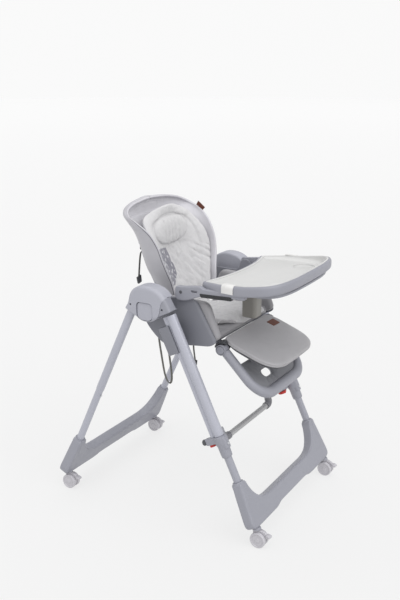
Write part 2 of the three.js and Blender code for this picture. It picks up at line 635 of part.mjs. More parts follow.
// The infant liner fills the hollow of the back. Its front is a shallow trough between the wings.
const linerColumns = (row) => row.slice(1, -1);
const linerBehind = surface(back.skin + back.pad + 2 * gap).slice(0, liner.front.length).map(linerColumns);
const linerAhead = liner.front.map(([half, edgeY, middleY], row) => linerColumns(turns).map((turn) => {
  const u = acrossAt(turn) / acrossAt(turns.at(-2));
  return [u * half, middleY + (edgeY - middleY) * Math.abs(u) ** liner.hollow, stations[row][0]];
}));
add('liner', between(linerBehind, linerAhead), 'cloth');

// ---- Calf rest and footrest ------------------------------------------------------------------------
// In the calf rest's frame the pad's top is z = 0, and -Y runs down its slope.
function hingedFrame(y, z, slope) {
  const group = new THREE.Group();
  group.rotation.x = radians(slope);
  group.position.set(0, y, z);
  group.updateMatrix();
  chair.add(group);
  return group;
}
const calfFrame = hingedFrame(...calf.origin, calf.slope);
const calfShape = (inset) => outline([
  [calf.half - 22 - inset, -calf.start - inset / 3, 14], [calf.half - inset, -calf.start - 50, 20],
  [calf.half - inset, -calf.reach + inset, 100], [0, -calf.reach - 4 + inset, 60],
  [-calf.half + inset, -calf.reach + inset, 100], [-calf.half + inset, -calf.start - 50, 20],
  [-calf.half + 22 + inset, -calf.start - inset / 3, 14],
]);
const boardTop = -calf.pad - gap;
add('calf_pad', extrude(calfShape(0), 'z', -calf.pad, 0, 4, 5), 'leather', calfFrame);
const calfEarX = [earInner + hingePin.ear + play, earInner + 2 * hingePin.ear + play];
const calfEar = fromWorld(extrude(outline([
  [hingeY + 10, hingeZ, 6], [hingeY + 10, hingeZ + 32, 3], [hingeY - 24, hingeZ + 22, 3], [hingeY - 12,
    hingeZ - 6, 6],
  [hingeY, hingeZ - 11, 6],
]), 'x', ...calfEarX), calfFrame);
add('calf_board', cut(
  join(extrude(calfShape(10), 'z', boardTop - calf.board, boardTop, 1), calfEar, mirrored(calfEar)),
  fromWorld(rod('x', hingeY, hingeZ, hingePin.r + gap, -200, 200), calfFrame),
  box([-300, 300], [-400, 100], [boardTop, 60]),
), 'darkPlastic', calfFrame);

// The footrest is a tube bent into a wide U, with a disc on the hinge pin at each end.
const loopFrame = hingedFrame(hingeY, hingeZ, loop.slope);
const bendCentre = [loopHalf - loop.cornerR, -loop.reach + loop.cornerR];
const bendPoints = [0, 22.5, 45, 67.5, 90].map((turn) => [
  bendCentre[0] + loop.cornerR * Math.cos(radians(turn)),
    bendCentre[1] - loop.cornerR * Math.sin(radians(turn)), 0]);
const halfLoop = [[loopHalf, -8, 0], [loopHalf, -60, 0], ...bendPoints];
const loopPath = [...halfLoop, [0, -loop.reach, 0], ...halfLoop.map(([x, y]) => [-x, y, 0]).reverse()];
const loopDisc = rod('x', 0, 0, loop.discR, loopHalf - loop.r, loopHalf + loop.r, 14);
const pinBore = rod('x', 0, 0, hingePin.r + gap, loopHalf - loop.r - 5, pinReach + gap);
add('footrest_loop', cut(
  join(sweep(disc(0, 0, loop.r), loopPath, 28), loopDisc, mirrored(loopDisc)), pinBore, mirrored(pinBore),
), 'plastic', loopFrame);

const plateHalf = loopHalf - loop.r - 0.9;
const plateR = loop.cornerR - loop.r;
const plateFront = -loop.reach + loop.r + 0.9;
const plateShape = new THREE.Shape();
plateShape.moveTo(plateHalf, -plate.start);
plateShape.lineTo(-plateHalf, -plate.start);
plateShape.absarc(-plateHalf + plateR, plateFront + plateR, plateR, Math.PI, 1.5 * Math.PI);
plateShape.absarc(plateHalf - plateR, plateFront + plateR, plateR, 1.5 * Math.PI, 2 * Math.PI);
plateShape.closePath();
plateShape.holes.push(...[-1, 1].map((side) => capsule(
  [side * plate.holeX - plate.holeHalf, -plate.holeU], [side * plate.holeX + plate.holeHalf,
    -plate.holeU], plate.holeR)));
add('foot_plate', extrude(plateShape, 'z', -plate.thickness / 2, plate.thickness / 2, 0, 6),
  'darkPlastic', loopFrame);

// ---- Tray -------------------------------------------------------------------------------------------
function trayShape(inset) {
  const corners = [
    [trayHalf - inset, tray.rear - inset, 14], [trayWidest - inset * 1.1, tray.corner + inset * 0.8, 95],
    [0, tray.front - 5 + inset, 120], [-trayWidest + inset * 1.1, tray.corner + inset * 0.8, 95],
    [-trayHalf + inset, tray.rear - inset, 14], [0, tray.rear - 20 - inset, 90],
  ];
  return outline(corners.reverse());
}
const armShape = outline([
  [armY + arm.r, armZ, 23], [armY + arm.r, armZ + arm.r, 23], [armY, armZ + arm.r, 8], [tray.rear + 14,
    trayFloor + 7, 6],
  [tray.rear + 4, trayFloor - gap, 6], [arm.end, trayFloor - gap, 5], [arm.end, traySkirt - 3, 5],
    [tray.rear, traySkirt - 6, 12],
  [armY - 14, armZ - arm.r, 12], [armY + arm.r, armZ - arm.r, 23],
]);
addPair('tray_arm', join(
  extrude(armShape, 'x', armInner, armOuter, 2),
  rod('x', armY, armZ, arm.pinR, shell.inner + 1, armInner + 1),
), 'plastic');

const armSlot = box([armInner - 1, armOuter + 1], [tray.rear - 12, tray.rear + 5], [traySkirt - 10,
  trayFloor + gap]);
add('tray_base', cut(
  extrude(trayShape(0), 'z', traySkirt, tray.rim, 6, 5),
  extrude(trayShape(tray.lip), 'z', trayFloorTop, tray.rim + 5, 0, 5),
  extrude(trayShape(tray.wall), 'z', traySkirt - 5, trayFloor, 0, 5),
  armSlot, mirrored(armSlot),
), 'plastic');
add('tray_top', cut(
  extrude(trayShape(trayTop.inset), 'z', topBottom, tray.rim + trayTop.proud, 2, 5),
  extrude(trayShape(trayTop.inset + trayTop.wall), 'z', topBottom + trayTop.floorWall, tray.rim + 10, 0, 5),
  rod('z', ...trayTop.cupAt, trayTop.cupR, topBottom + trayTop.cupWall, tray.rim + 10, 12),
), 'white');
add('crotch_post', extrude(outline([
  [-post.halfX, post.y[0], post.cornerR], [post.halfX, post.y[0], post.cornerR],
  [post.halfX, post.y[1], post.cornerR], [-post.halfX, post.y[1], post.cornerR],
]), 'z', post.bottom, trayFloor - gap, 5), 'beige');

// Each clip hooks over the rim where the side runs straight from the rear to the front corner.
const sideTurn = Math.atan2(trayWidest - trayHalf, tray.rear - tray.corner);
const clipMiddle = (clip.y[0] + clip.y[1]) / 2;
const clipX = trayHalf + (tray.rear - clipMiddle) * Math.tan(sideTurn);
const clipHalf = (clip.y[0] - clip.y[1]) / 2;
const clipShape = outline([
  [play, tray.rim - clip.height], [play + clip.thickness, tray.rim - clip.height, 1],
  [play + clip.thickness, tray.rim + clip.thickness, 2], [-clip.hook, tray.rim + clip.thickness, 1],
  [-clip.hook, tray.rim + play], [play, tray.rim + play],
]);
addPair('tray_clip', extrude(clipShape, 'y', -clipHalf, clipHalf).rotateZ(sideTurn)
  .translate(clipX, clipMiddle, 0), 'white');

// ---- Webbing ------------------------------------------------------------------------------------------
function strap(width, points, steps) {
  const half = [width / 2, strapThickness / 2];
  return sweep(outline([[-half[0], -half[1]], [half[0], -half[1]], [half[0], half[1]], [-half[0],
    half[1]]]), points, steps);
}
add('back_strap', strap(15, backStrapRoute, 10), 'webbing');
add('loop_strap', strap(10, loopStrapRoute, 24), 'webbing');
add('seat_strap', strap(10, seatStrapRoute, 8), 'webbing');

export default chair;
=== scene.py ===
"""Baby high chair: the finished look of every piece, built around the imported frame."""

import json

import bmesh
import bpy
import numpy as np
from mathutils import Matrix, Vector


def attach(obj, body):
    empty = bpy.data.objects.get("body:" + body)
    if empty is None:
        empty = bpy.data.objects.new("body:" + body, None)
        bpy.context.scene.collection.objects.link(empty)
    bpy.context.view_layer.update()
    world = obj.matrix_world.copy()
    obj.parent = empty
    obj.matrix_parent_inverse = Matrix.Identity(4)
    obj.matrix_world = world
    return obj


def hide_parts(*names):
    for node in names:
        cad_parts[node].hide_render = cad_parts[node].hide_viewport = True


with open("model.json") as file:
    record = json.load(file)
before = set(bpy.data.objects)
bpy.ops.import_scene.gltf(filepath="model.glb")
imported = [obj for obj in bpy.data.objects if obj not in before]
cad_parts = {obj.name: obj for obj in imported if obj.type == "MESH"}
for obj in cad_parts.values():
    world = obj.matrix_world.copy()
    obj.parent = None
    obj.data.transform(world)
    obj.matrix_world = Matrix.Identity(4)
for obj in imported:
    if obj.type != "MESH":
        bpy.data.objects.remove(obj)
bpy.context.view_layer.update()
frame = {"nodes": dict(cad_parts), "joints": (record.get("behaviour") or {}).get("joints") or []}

# ---- Front legs ------------------------------------------------------------------------------------
# Each front leg is one aluminium extrusion: a round tube with a thinner rail tube behind it, joined by
# a neck, and painted lavender grey. The seat's carriages clip around the rail and slide along it.
joints = {joint["name"]: joint for joint in frame["joints"]}
FOLD_PIVOT = np.array([28.0, 742.0])  # y and z of the fold hinge, in the drawing's millimetres
DRAWING_SHIFT = joints["rear_fold"]["pos_m"][1] * 1000 - FOLD_PIVOT[0]


def leg_frame(lean, offset):
    """Turns points (x, behind, down) beside a leg into drawing points. Down runs along the leg's axis,
    which leans by `lean` degrees and passes the fold hinge at `offset`; behind is square to it."""
    angle = np.radians(lean)
    start = FOLD_PIVOT + offset * np.array([np.cos(angle), np.sin(angle)])

    def place(points):
        """The points turned by the lean about x and moved to the leg's start."""
        x, behind, down = np.moveaxis(np.asarray(points, float), -1, 0)
        y = start[0] + behind * np.cos(angle) + down * np.sin(angle)
        z = start[1] + behind * np.sin(angle) - down * np.cos(angle)
        return np.stack([x, y, z], -1)

    place.down_to = lambda z: (start[1] - z) / np.cos(angle)
    return place


front_leg = leg_frame(-25.3, -63.2)
rear_leg = leg_frame(24.9, 47.6)
LEG_X = 272.0


def grid_form(points, wrap_rows=False, wrap_columns=True, caps=False):
    """A grid of points (rows, columns, 3) as its points, its quads and, with caps, a face on each end row."""
    rows, columns = points.shape[:2]
    r = np.arange(rows if wrap_rows else rows - 1)[:, None]
    c = np.arange(columns if wrap_columns else columns - 1)[None, :]
    next_r, next_c = (r + 1) % rows, (c + 1) % columns
    corners = np.broadcast_arrays(r * columns + c, r * columns + next_c, next_r * columns + next_c,
                                  next_r * columns + c)
    quads = np.stack(corners, -1).reshape(-1, 4)
    ends = [np.arange(columns)[::-1], np.arange(columns) + (rows - 1) * columns] if caps else []
    return points.reshape(-1, 3), quads, ends


def placed(form, place):
    """The same form with its points carried into another frame."""
    return (place(form[0]), *form[1:])


def mirrored(forms):
    """The same forms on the other side of the chair."""
    return [(points * [-1, 1, 1], quads[:, ::-1], [end[::-1] for end in ends]) for points, quads,
            ends in forms]


def make_mesh(name, forms, merge=0.02):
    """A mesh in metres from forms in drawing millimetres, with doubles merged and normals outwards."""
    starts = np.cumsum([0] + [len(form[0]) for form in forms])
    points = np.concatenate([form[0] for form in forms]) + [0, DRAWING_SHIFT, 0]
    faces = sum([(form[1] + start).tolist() for form, start in zip(forms, starts)], [])
    faces += [(end + start).tolist() for form, start in zip(forms, starts) for end in form[2]]
    mesh = bpy.data.meshes.new(name)
    mesh.from_pydata((points / 1000).tolist(), [], faces)
    work = bmesh.new()
    work.from_mesh(mesh)
    bmesh.ops.remove_doubles(work, verts=work.verts, dist=merge / 1000)
    bmesh.ops.dissolve_degenerate(work, edges=work.edges, dist=merge / 4000)
    bmesh.ops.recalc_face_normals(work, faces=work.faces)
    work.to_mesh(mesh)
    work.free()
    return mesh


def make_piece(name, body, material, slot, forms, nodes=(), sharp=38.0):
    """One piece from forms, shaded smooth but for edges that turn by more than `sharp` degrees."""
    mesh = make_mesh(name, forms)
    mesh.polygons.foreach_set("use_smooth", [True] * len(mesh.polygons))
    mesh.set_sharp_from_angle(angle=np.radians(sharp))
    mesh.materials.append(material)
    piece = bpy.data.objects.new(name, mesh)
    bpy.context.scene.collection.objects.link(piece)
    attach(piece, body)
    if nodes:
        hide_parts(*nodes)
    return piece


def make_pair(name, body, material, slot, forms, nodes=(), **options):
    """The left piece, drawn at +X, and its mirror image. `{}` in a name or body stands for the side."""
    for side, side_forms in (("left", forms), ("right", mirrored(forms))):
        make_piece(
            name.format(side), body.format(side), material, slot, side_forms,
            [node.format(side) for node in nodes], **options)


def evenly(outline, count):
    """A closed outline redrawn with `count` points at equal steps along it."""
    closed = np.vstack([outline, outline[:1]])
    along = np.concatenate([[0], np.cumsum(np.linalg.norm(np.diff(closed, axis=0), axis=1))])
    steps = np.linspace(0, along[-1], count, endpoint=False)
    return np.stack([np.interp(steps, along, closed[:, k]) for k in range(closed.shape[1])], -1)


def relaxed(outline, times):
    """A closed outline whose points are averaged with their neighbours, which rounds its corners."""
    for _ in range(times):
        outline = 0.5 * outline + 0.25 * (np.roll(outline, 1, 0) + np.roll(outline, -1, 0))
    return outline


def rounded(corners, count=120, steps=8):
    """A closed outline through corners (a, b, reach). A corner is a parabola that leaves and joins the
    straight sides `reach` away from it."""
    corners = np.array([(*corner, 0.0)[:3] for corner in corners], float)
    corner, reach = corners[:, :2], corners[:, 2]
    before, after = np.roll(corner, 1, 0) - corner, np.roll(corner, -1, 0) - corner
    start = corner + before * np.minimum(0.5, reach / np.linalg.norm(before, axis=1))[:, None]
    end = corner + after * np.minimum(0.5, reach / np.linalg.norm(after, axis=1))[:, None]
    t = np.linspace(0, 1, steps)[None, :, None]
    curve = (1 - t) ** 2 * start[:, None] + 2 * t * (1 - t) * corner[:, None] + t**2 * end[:, None]
    return evenly(curve.reshape(-1, 2), count)


def circle(a, b, radius, count=48):
    """A round outline about (a, b)."""
    turn = np.linspace(0, 2 * np.pi, count, endpoint=False)
    return np.stack([a + radius * np.cos(turn), b + radius * np.sin(turn)], -1)


def outward(outline):
    """Unit normals of a closed outline, pointing away from what it encloses."""
    along = np.roll(outline, -1, 0) - np.roll(outline, 1, 0)
    normal = np.stack([along[:, 1], -along[:, 0]], -1)
    normal /= np.linalg.norm(normal, axis=1, keepdims=True) + 1e-9
    area = np.sum(outline[:, 0] * np.roll(outline[:, 1], -1) - outline[:, 1] * np.roll(outline[:, 0], -1))
    return normal if area > 0 else -normal


AXES = {"x": [2, 0, 1], "y": [0, 2, 1], "z": [0, 1, 2]}  # which of (a, b, height) becomes x, y and z


def rings(outline, profile, axis="z", caps=True):
    """An outline repeated at each (inset, height) of a profile. Either may hold one value per point."""
    normal = outward(outline)
    rows = [
        np.column_stack([
            outline - normal * np.broadcast_to(inset, len(outline))[:, None],
            np.broadcast_to(height, len(outline))])
        for inset, height in profile]
    return grid_form(np.array(rows)[..., AXES[axis]], caps=caps)


def quarter(inset, height, radius, start, end, steps=5):
    """Profile corners along an arc about (inset, height), from one angle to another in degrees."""
    turn = np.radians(np.linspace(start, end, steps))
    return [(inset - radius * np.cos(a), height + radius * np.sin(a)) for a in turn]


def slab(outline, low, high, edge=1.0, axis="z", crown=0.0, steps=5):
    """An outline carried from height low to high. Its edges are quarter circles of radius `edge`, which
    may hold one value per point. A crown lifts the high face towards its middle as 1 - s^2."""
    low_edge, high_edge = edge if isinstance(edge, tuple) else (edge, edge)
    profile = quarter(low_edge, low + low_edge, low_edge, -90, 0, steps)
    profile += quarter(high_edge, high - high_edge, high_edge, 0, 90, steps)
    if np.min(low_edge) > 0.2:  # one more ring on each flat face keeps its shading flat
        profile = [(low_edge + 0.5, low), *profile, (high_edge + 0.5, high)]
    points, quads, ends = rings(outline, profile)
    if crown:
        rim = points[-len(outline):]
        s = np.linspace(1, 0.04, 10)[1:, None, None]
        dome = rim.mean(0) + (rim - rim.mean(0)) * s + [0, 0, crown] * (1 - s**2)
        rows = np.vstack([points.reshape(-1, len(outline), 3), dome])
        points, quads, ends = grid_form(rows, caps=True)
    return points[:, AXES[axis]], quads, ends


def lathe(profile, axis="x", at=(0, 0, 0), count=40):
    """A profile of (radius, distance) corners turned about an axis through a point."""
    radius, along = np.asarray(profile, float).T
    turn = np.linspace(0, 2 * np.pi, count, endpoint=False)[None, :]
    a, b = radius[:, None] * np.cos(turn), radius[:, None] * np.sin(turn)
    h = np.broadcast_to(along[:, None], a.shape)
    order = {"x": (h, a, b), "y": (a, h, b), "z": (a, b, h)}[axis]
    return grid_form(np.stack(order, -1) + np.asarray(at, float), caps=True)


def smooth_path(points, count):
    """A Catmull-Rom curve through points, redrawn with `count` points at equal steps."""
    points = np.asarray(points, float)
    p = np.vstack([2 * points[0] - points[1], points, 2 * points[-1] - points[-2]])
    t = np.linspace(0, 1, 16, endpoint=False)[None, :, None]
    p0, p1, p2, p3 = (p[k:len(p) - 3 + k, None] for k in range(4))
    curve = 0.5 * (2 * p1 + (p2 - p0) * t + (2 * p0 - 5 * p1 + 4 * p2 - p3) * t**2
                   + (3 * p1 - p0 - 3 * p2 + p3) * t**3)
    curve = np.vstack([curve.reshape(-1, points.shape[1]), points[-1:]])
    along = np.concatenate([[0], np.cumsum(np.linalg.norm(np.diff(curve, axis=0), axis=1))])
    steps = np.linspace(0, along[-1], count)
    return np.stack([np.interp(steps, along, curve[:, k]) for k in range(curve.shape[1])], -1)


def sweep(path, section, side, caps=True, wrap=False):
    """A section (a, b) carried along a path. Its a axis stays near the direction `side`, and its b axis
    is square to that and to the path. The section may differ from point to point."""
    path = np.asarray(path, float)
    tangent = (np.roll(path, -1, 0) - np.roll(path, 1, 0)) if wrap else np.gradient(path, axis=0)
    tangent /= np.linalg.norm(tangent, axis=1, keepdims=True)
    a = np.broadcast_to(np.asarray(side, float), tangent.shape)
    a = a - np.sum(a * tangent, 1, keepdims=True) * tangent
    a /= np.linalg.norm(a, axis=1, keepdims=True)
    b = np.cross(tangent, a)
    section = np.broadcast_to(section, (len(path), *np.shape(section)[-2:]))
    points = path[:, None] + section[..., :1] * a[:, None] + section[..., 1:] * b[:, None]
    return grid_form(points, wrap_rows=wrap, caps=caps and not wrap)


def new_material(name, colour, roughness, **sockets):
    """A Principled shader with constants on its own sockets, and its node tree."""
    material = bpy.data.materials.new(name)
    material.use_nodes = True
    tree = material.node_tree
    shader = tree.nodes["Principled BSDF"]
    shader.inputs["Base Color"].default_value = (*colour, 1)
    shader.inputs["Roughness"].default_value = roughness
    for socket, value in sockets.items():
        shader.inputs[socket.replace("_", " ")].default_value = value
    return material, tree, shader


def add_node(tree, kind, **values):
    """A node with its properties, or its inputs where it has one of that name, set."""
    node = tree.nodes.new(f"ShaderNode{kind}")
    for key, value in values.items():
        socket = node.inputs.get(key.replace("_", " "))
        if socket is not None and not hasattr(node, key):
            socket.default_value = value
        else:
            setattr(node, key, value)
    return node


def object_noise(tree, scale, detail=2.0, stretch=(1, 1, 1), roughness=0.5):
    """Noise on Object coordinates, in turns to the metre."""
    coordinates = add_node(tree, "TexCoord")
    mapping = add_node(tree, "Mapping", Scale=stretch)
    noise = add_node(tree, "TexNoise", Scale=scale, Detail=detail, Roughness=roughness)
    tree.links.new(coordinates.outputs["Object"], mapping.inputs["Vector"])
    tree.links.new(mapping.outputs["Vector"], noise.inputs["Vector"])
    return noise.outputs["Fac"]


def vary_colour(tree, shader, colour, spread, fac):
    """Base colour that drifts by `spread` either way with fac."""
    ramp = add_node(tree, "ValToRGB")
    ramp.color_ramp.elements[0].position, ramp.color_ramp.elements[1].position = 0.3, 0.7
    ramp.color_ramp.elements[0].color = (*(np.array(colour) * (1 - spread)), 1)
    ramp.color_ramp.elements[1].color = (*np.minimum(1, np.array(colour) * (1 + spread)), 1)
    tree.links.new(fac, ramp.inputs["Fac"])
    tree.links.new(ramp.outputs["Color"], shader.inputs["Base Color"])
    return ramp.outputs["Color"]


def vary_roughness(tree, shader, low, high, fac):
    """Roughness that moves between low and high with fac."""
    span = add_node(tree, "MapRange", From_Min=0.35, From_Max=0.65, To_Min=low, To_Max=high)
    tree.links.new(fac, span.inputs["Value"])
    tree.links.new(span.outputs["Result"], shader.inputs["Roughness"])


def add_bump(tree, shader, height, distance, strength=1.0):
    """A bump of `distance` metres under whatever bump the shader already has."""
    bump = add_node(tree, "Bump", Strength=strength, Distance=distance)
    tree.links.new(height, bump.inputs["Height"])
    if shader.inputs["Normal"].links:
        tree.links.new(shader.inputs["Normal"].links[0].from_socket, bump.inputs["Normal"])
    tree.links.new(bump.outputs["Normal"], shader.inputs["Normal"])


def paint(name, colour, roughness, metallic=0.15):
    """Baked powder coat: a faint orange peel, and a drift in gloss along the tube."""
    material, tree, shader = new_material(
        name, colour, roughness, Metallic=metallic, Coat_Weight=0.25, Coat_Roughness=0.25)
    vary_colour(tree, shader, colour, 0.02, object_noise(tree, 9))
    vary_roughness(tree, shader, roughness - 0.05, roughness + 0.06, object_noise(tree, 45, 4))
    add_bump(tree, shader, object_noise(tree, 900, 2), 0.00006, 0.5)
    return material


leg_paint = paint("leg paint", (0.4, 0.408, 0.465), 0.36)


def tube_and_rail(tube_radius=16.0, rail_radius=8.5, rail_offset=24.0, neck=5.0):
    """The extrusion's section: two circles and a neck, with the inner corners eased."""
    at_tube, at_rail = np.arcsin(neck / tube_radius), np.arcsin(neck / rail_radius)
    tube_turn = np.linspace(at_tube, 2 * np.pi - at_tube, 60)
    rail_turn = np.linspace(np.pi + at_rail, 3 * np.pi - at_rail, 40)
    tube = np.stack([tube_radius * np.sin(tube_turn), tube_radius * np.cos(tube_turn)], -1)
    rail = np.stack([rail_radius * np.sin(rail_turn), rail_offset + rail_radius * np.cos(rail_turn)], -1)
    return relaxed(evenly(np.vstack([tube, rail]), 130), 3) + [LEG_X, 0]


CLAMP_TOP = 468.7
make_pair(
    "front_leg_{}_tube", "front_frame", leg_paint, "paint",
    [placed(slab(tube_and_rail(), 57.3, CLAMP_TOP - 0.4, 0.5), front_leg)], ["front_leg_{}"])
FOOT_TOP = 200.0
inner_tube = slab(circle(LEG_X, 0, 12.75), CLAMP_TOP - 80, front_leg.down_to(FOOT_TOP) + 68, 0.5)
lower_paint = paint("lower leg paint", (0.31, 0.316, 0.36), 0.4)
make_pair("lower_leg_{}_tube", "front_frame", lower_paint, "paint", [placed(inner_tube, front_leg)],
          ["lower_leg_{}"])

# ---- Fold hinges -----------------------------------------------------------------------------------
# Each hinge is a domed moulding over the top of both legs. A seam parts it into the rear leg's casing,
# which turns on a steel pin, and the front leg's socket, whose flat tongue runs on the same pin. A
# square unlocking button sits in the casing.
def moulded(name, colour, roughness, grain=0.00005):
    """Injection-moulded plastic: a fine spark-eroded grain and slight unevenness of gloss."""
    material, tree, shader = new_material(name, colour, roughness)
    vary_colour(tree, shader, colour, 0.015, object_noise(tree, 7))
    vary_roughness(tree, shader, roughness - 0.05, roughness + 0.07, object_noise(tree, 60, 4))
    add_bump(tree, shader, object_noise(tree, 1300, 2), grain, 0.7)
    return material


grey_plastic = moulded("grey plastic", (0.27, 0.274, 0.312), 0.42)
hub_plastic = moulded("hinge plastic", (0.365, 0.37, 0.418), 0.42)
dark_plastic = moulded("dark plastic", (0.07, 0.072, 0.08), 0.5)
steel, _, _ = new_material("steel", (0.62, 0.63, 0.65), 0.28, Metallic=1.0)


def make_tool(forms):
    """A cutting body from forms in drawing millimetres. It is removed once it has cut."""
    tool = make_mesh("tool", forms, 0.001)
    tool = bpy.data.objects.new("tool", tool)
    bpy.context.scene.collection.objects.link(tool)
    return tool


def carve(piece, forms, operation="DIFFERENCE", ease=0.0):
    """Cuts forms out of a piece, or keeps what is inside them, and eases the edges that this leaves."""
    tool = make_tool(forms)
    cut = piece.modifiers.new("cut", "BOOLEAN")
    cut.object, cut.operation, cut.solver = tool, operation, "EXACT"
    graph = bpy.context.evaluated_depsgraph_get()
    mesh = bpy.data.meshes.new_from_object(piece.evaluated_get(graph))
    piece.modifiers.remove(cut)
    bpy.data.objects.remove(tool)
    piece.data = mesh
    mesh.polygons.foreach_set("use_smooth", [True] * len(mesh.polygons))
    mesh.set_sharp_from_angle(angle=np.radians(38))
    if ease:
        edges = piece.modifiers.new("edges", "BEVEL")
        edges.width, edges.segments, edges.angle_limit = ease / 1000, 2, np.radians(50)
        edges.harden_normals = True


def beside_leg(lean, across, down):
    """A point of the hinge's outline that lies beside a leg: its y and z from the hinge."""
    angle = np.radians(lean)
    return across * np.cos(angle) + down * np.sin(angle), across * np.sin(angle) - down * np.cos(angle)


def about_pivot(radius, start, end, count=24):
    """An arc about the fold hinge, in y and z from it."""
    turn = np.radians(np.linspace(start, end, count))
    return radius * np.stack([np.cos(turn), np.sin(turn)], -1)


HUB_IN, HUB_OUT = 243.0, 300.0
crown_line = smooth_path(
    [beside_leg(24.9, 61, 49), (67, 6), (61, 29), (47, 48), (22, 60), (-6, 62.5), (-36, 57), (-58, 45),
     (-73, 27),
     beside_leg(-25.3, -81.5, 48)], 90)
front_mouth = beside_leg(-25.3, -30, 48)
mouth_angle = np.degrees(np.arctan2(front_mouth[1], front_mouth[0])) + 360
hub_outline = FOLD_PIVOT + relaxed(evenly(np.vstack(
    [crown_line, front_mouth, about_pivot(56.2, mouth_angle, 308), beside_leg(24.9, 28, 49)]), 220), 6)
mouths = FOLD_PIVOT + np.vstack([np.linspace(beside_leg(24.9, 28, 49), beside_leg(24.9, 61, 49), 20),
                                 np.linspace(front_mouth, beside_leg(-25.3, -81.5, 48), 20)])
from_mouth = np.linalg.norm(hub_outline[:, None] - mouths[None], axis=-1).min(1)
hub_edge = np.clip(1.5 + 0.7 * from_mouth, 2.5, 13)
hub_dome = slab(hub_outline, HUB_IN, HUB_OUT, (hub_edge * 0.6, hub_edge), "x", crown=1.6, steps=7)
socket_edge = np.clip(1.5 + 2 * from_mouth, 2.5, 12)
socket_dome = slab(hub_outline, HUB_IN + 9, HUB_OUT - 2, (socket_edge, np.minimum(hub_edge, 9)), "x",
                   crown=1.6, steps=7)


def ahead_of_seam(radius, low, high):
    """Everything before the seam: an arc about the hinge that flares to the dome's front corner."""
    flare = smooth_path([(-76, 38), (-69, 27), (-61, 14), about_pivot(radius, 184, 184, 1)[0]], 14)
    border = np.vstack([[(-150, 110), (-98, 62)], flare, about_pivot(radius, 187, 214),
                        about_pivot(radius + 90, 222, 222, 1)])
    return slab(FOLD_PIVOT + border, low, high, 0.01, "x", steps=2)


def squircle(half, corner):
    """The button's outline, about its own place on the casing."""
    flat = rounded([(-half, -half, corner + 9), (half, -half, corner + 9), (half, half, corner),
                    (-half, half, corner)], 96)
    return FOLD_PIVOT + [1, -21] + flat


TONGUE = (263.0, 277.0)
slot_sweep = FOLD_PIVOT + np.vstack([[(0, 0)], about_pivot(97, 156, 160, 2), about_pivot(68, 205, 276, 6)])
tongue = rounded([(0, 10, 4), (-63, 12, 2), (-69, -18, 2), (-55, -24, 2), (0, -20, 4)], 60) + FOLD_PIVOT
pin_at = (0, *FOLD_PIVOT)
screw_hole = lathe([(0.1, 294), (3.6, 294), (3.6, 320), (0.1, 320)], "x", (0, *FOLD_PIVOT), 20)
casing_cuts = [
    ahead_of_seam(57, HUB_IN - 10, 400),
    slab(slot_sweep, TONGUE[0] - 0.6, TONGUE[1] + 0.6, 0.01, "x", steps=2),
    lathe([(0.1, TONGUE[0] - 0.6), (29.6, TONGUE[0] - 0.6), (29.6, TONGUE[1] + 0.6),
           (0.1, TONGUE[1] + 0.6)], "x", pin_at),
    slab(squircle(30.6, 15), 282.2, 330, 0.01, "x", steps=2),
]
screw_heads = [lathe([(0.1, 292), (3, 292), (3, 295), (0.1, 295)], "x", (0, *(FOLD_PIVOT + at)), 20) for at in
               ((54, -3), (-64, -5))]
button_form = slab(squircle(29.4, 15), 288.8, 298, (1, 3.2), "x", crown=1.2)
tongue_forms = [
    slab(tongue, *TONGUE, 0.8, "x", steps=2),
    lathe([(0.1, TONGUE[0]), (29, TONGUE[0]), (29, TONGUE[1]), (0.1, TONGUE[1])], "x", pin_at)]
for side, mirror in (("left", lambda forms: forms), ("right", mirrored)):
    casing = make_piece(
        f"hub_casing_{side}_moulding", "rear_frame", hub_plastic, "plastic", mirror([hub_dome]),
        [f"hub_casing_{side}"])
    for cut in [*casing_cuts, (screw_hole[0] + [0, 54, -3], *screw_hole[1:])]:
        carve(casing, mirror([cut]))
    carve(casing, mirror([placed(slab(circle(LEG_X, 0, 14.4), 15, 120, 0.01, steps=2), rear_leg)]), ease=0.7)
    socket = make_piece(
        f"front_socket_{side}_moulding", "front_frame", grey_plastic, "plastic", mirror([socket_dome]),
        [f"front_socket_{side}"])
    carve(socket, mirror([ahead_of_seam(57.7, HUB_IN - 10, 400)]), "INTERSECT")
    carve(socket, mirror([(screw_hole[0] + [0, -64, -5], *screw_hole[1:])]), ease=0.7)
    for head, body, place in zip(screw_heads, ("rear_frame", "front_frame"), ("casing", "socket")):
        make_piece(f"{place}_screw_{side}", body, dark_plastic, "dark_plastic", mirror([head]))
    make_piece(f"hinge_tongue_{side}", "front_frame", grey_plastic, "plastic", mirror(tongue_forms))
    make_piece(
        f"hub_button_{side}_cap", f"hub_button_{side}", hub_plastic, "plastic", mirror([button_form]),
        [f"hub_button_{side}"])
    make_piece(
        f"hub_pin_{side}_rod", "rear_frame", steel, "steel",
        mirror([lathe([(0.1, 249), (5, 249), (5, 281), (0.1, 281)], "x", pin_at, 24)]), [f"hub_pin_{side}"])

# ---- Clamps and the crossbar -----------------------------------------------------------------------
# A moulded collar ends each front extrusion and grips the thinner lower leg. An arm of it carries a
# knob and the elbow of a painted bar that ties the two legs; a red lever hangs under it.
def capsule(start, end, radius, count=80):
    """The outline of a straight bar with round ends."""
    start, end = np.array(start, float), np.array(end, float)
    angle = np.arctan2(*(end - start)[::-1])
    turn = np.linspace(-np.pi / 2, np.pi / 2, 24)
    one = end + radius * np.stack([np.cos(turn + angle), np.sin(turn + angle)], -1)
    other = start - radius * np.stack([np.cos(turn + angle), np.sin(turn + angle)], -1)
    return evenly(np.vstack([one, other]), count)


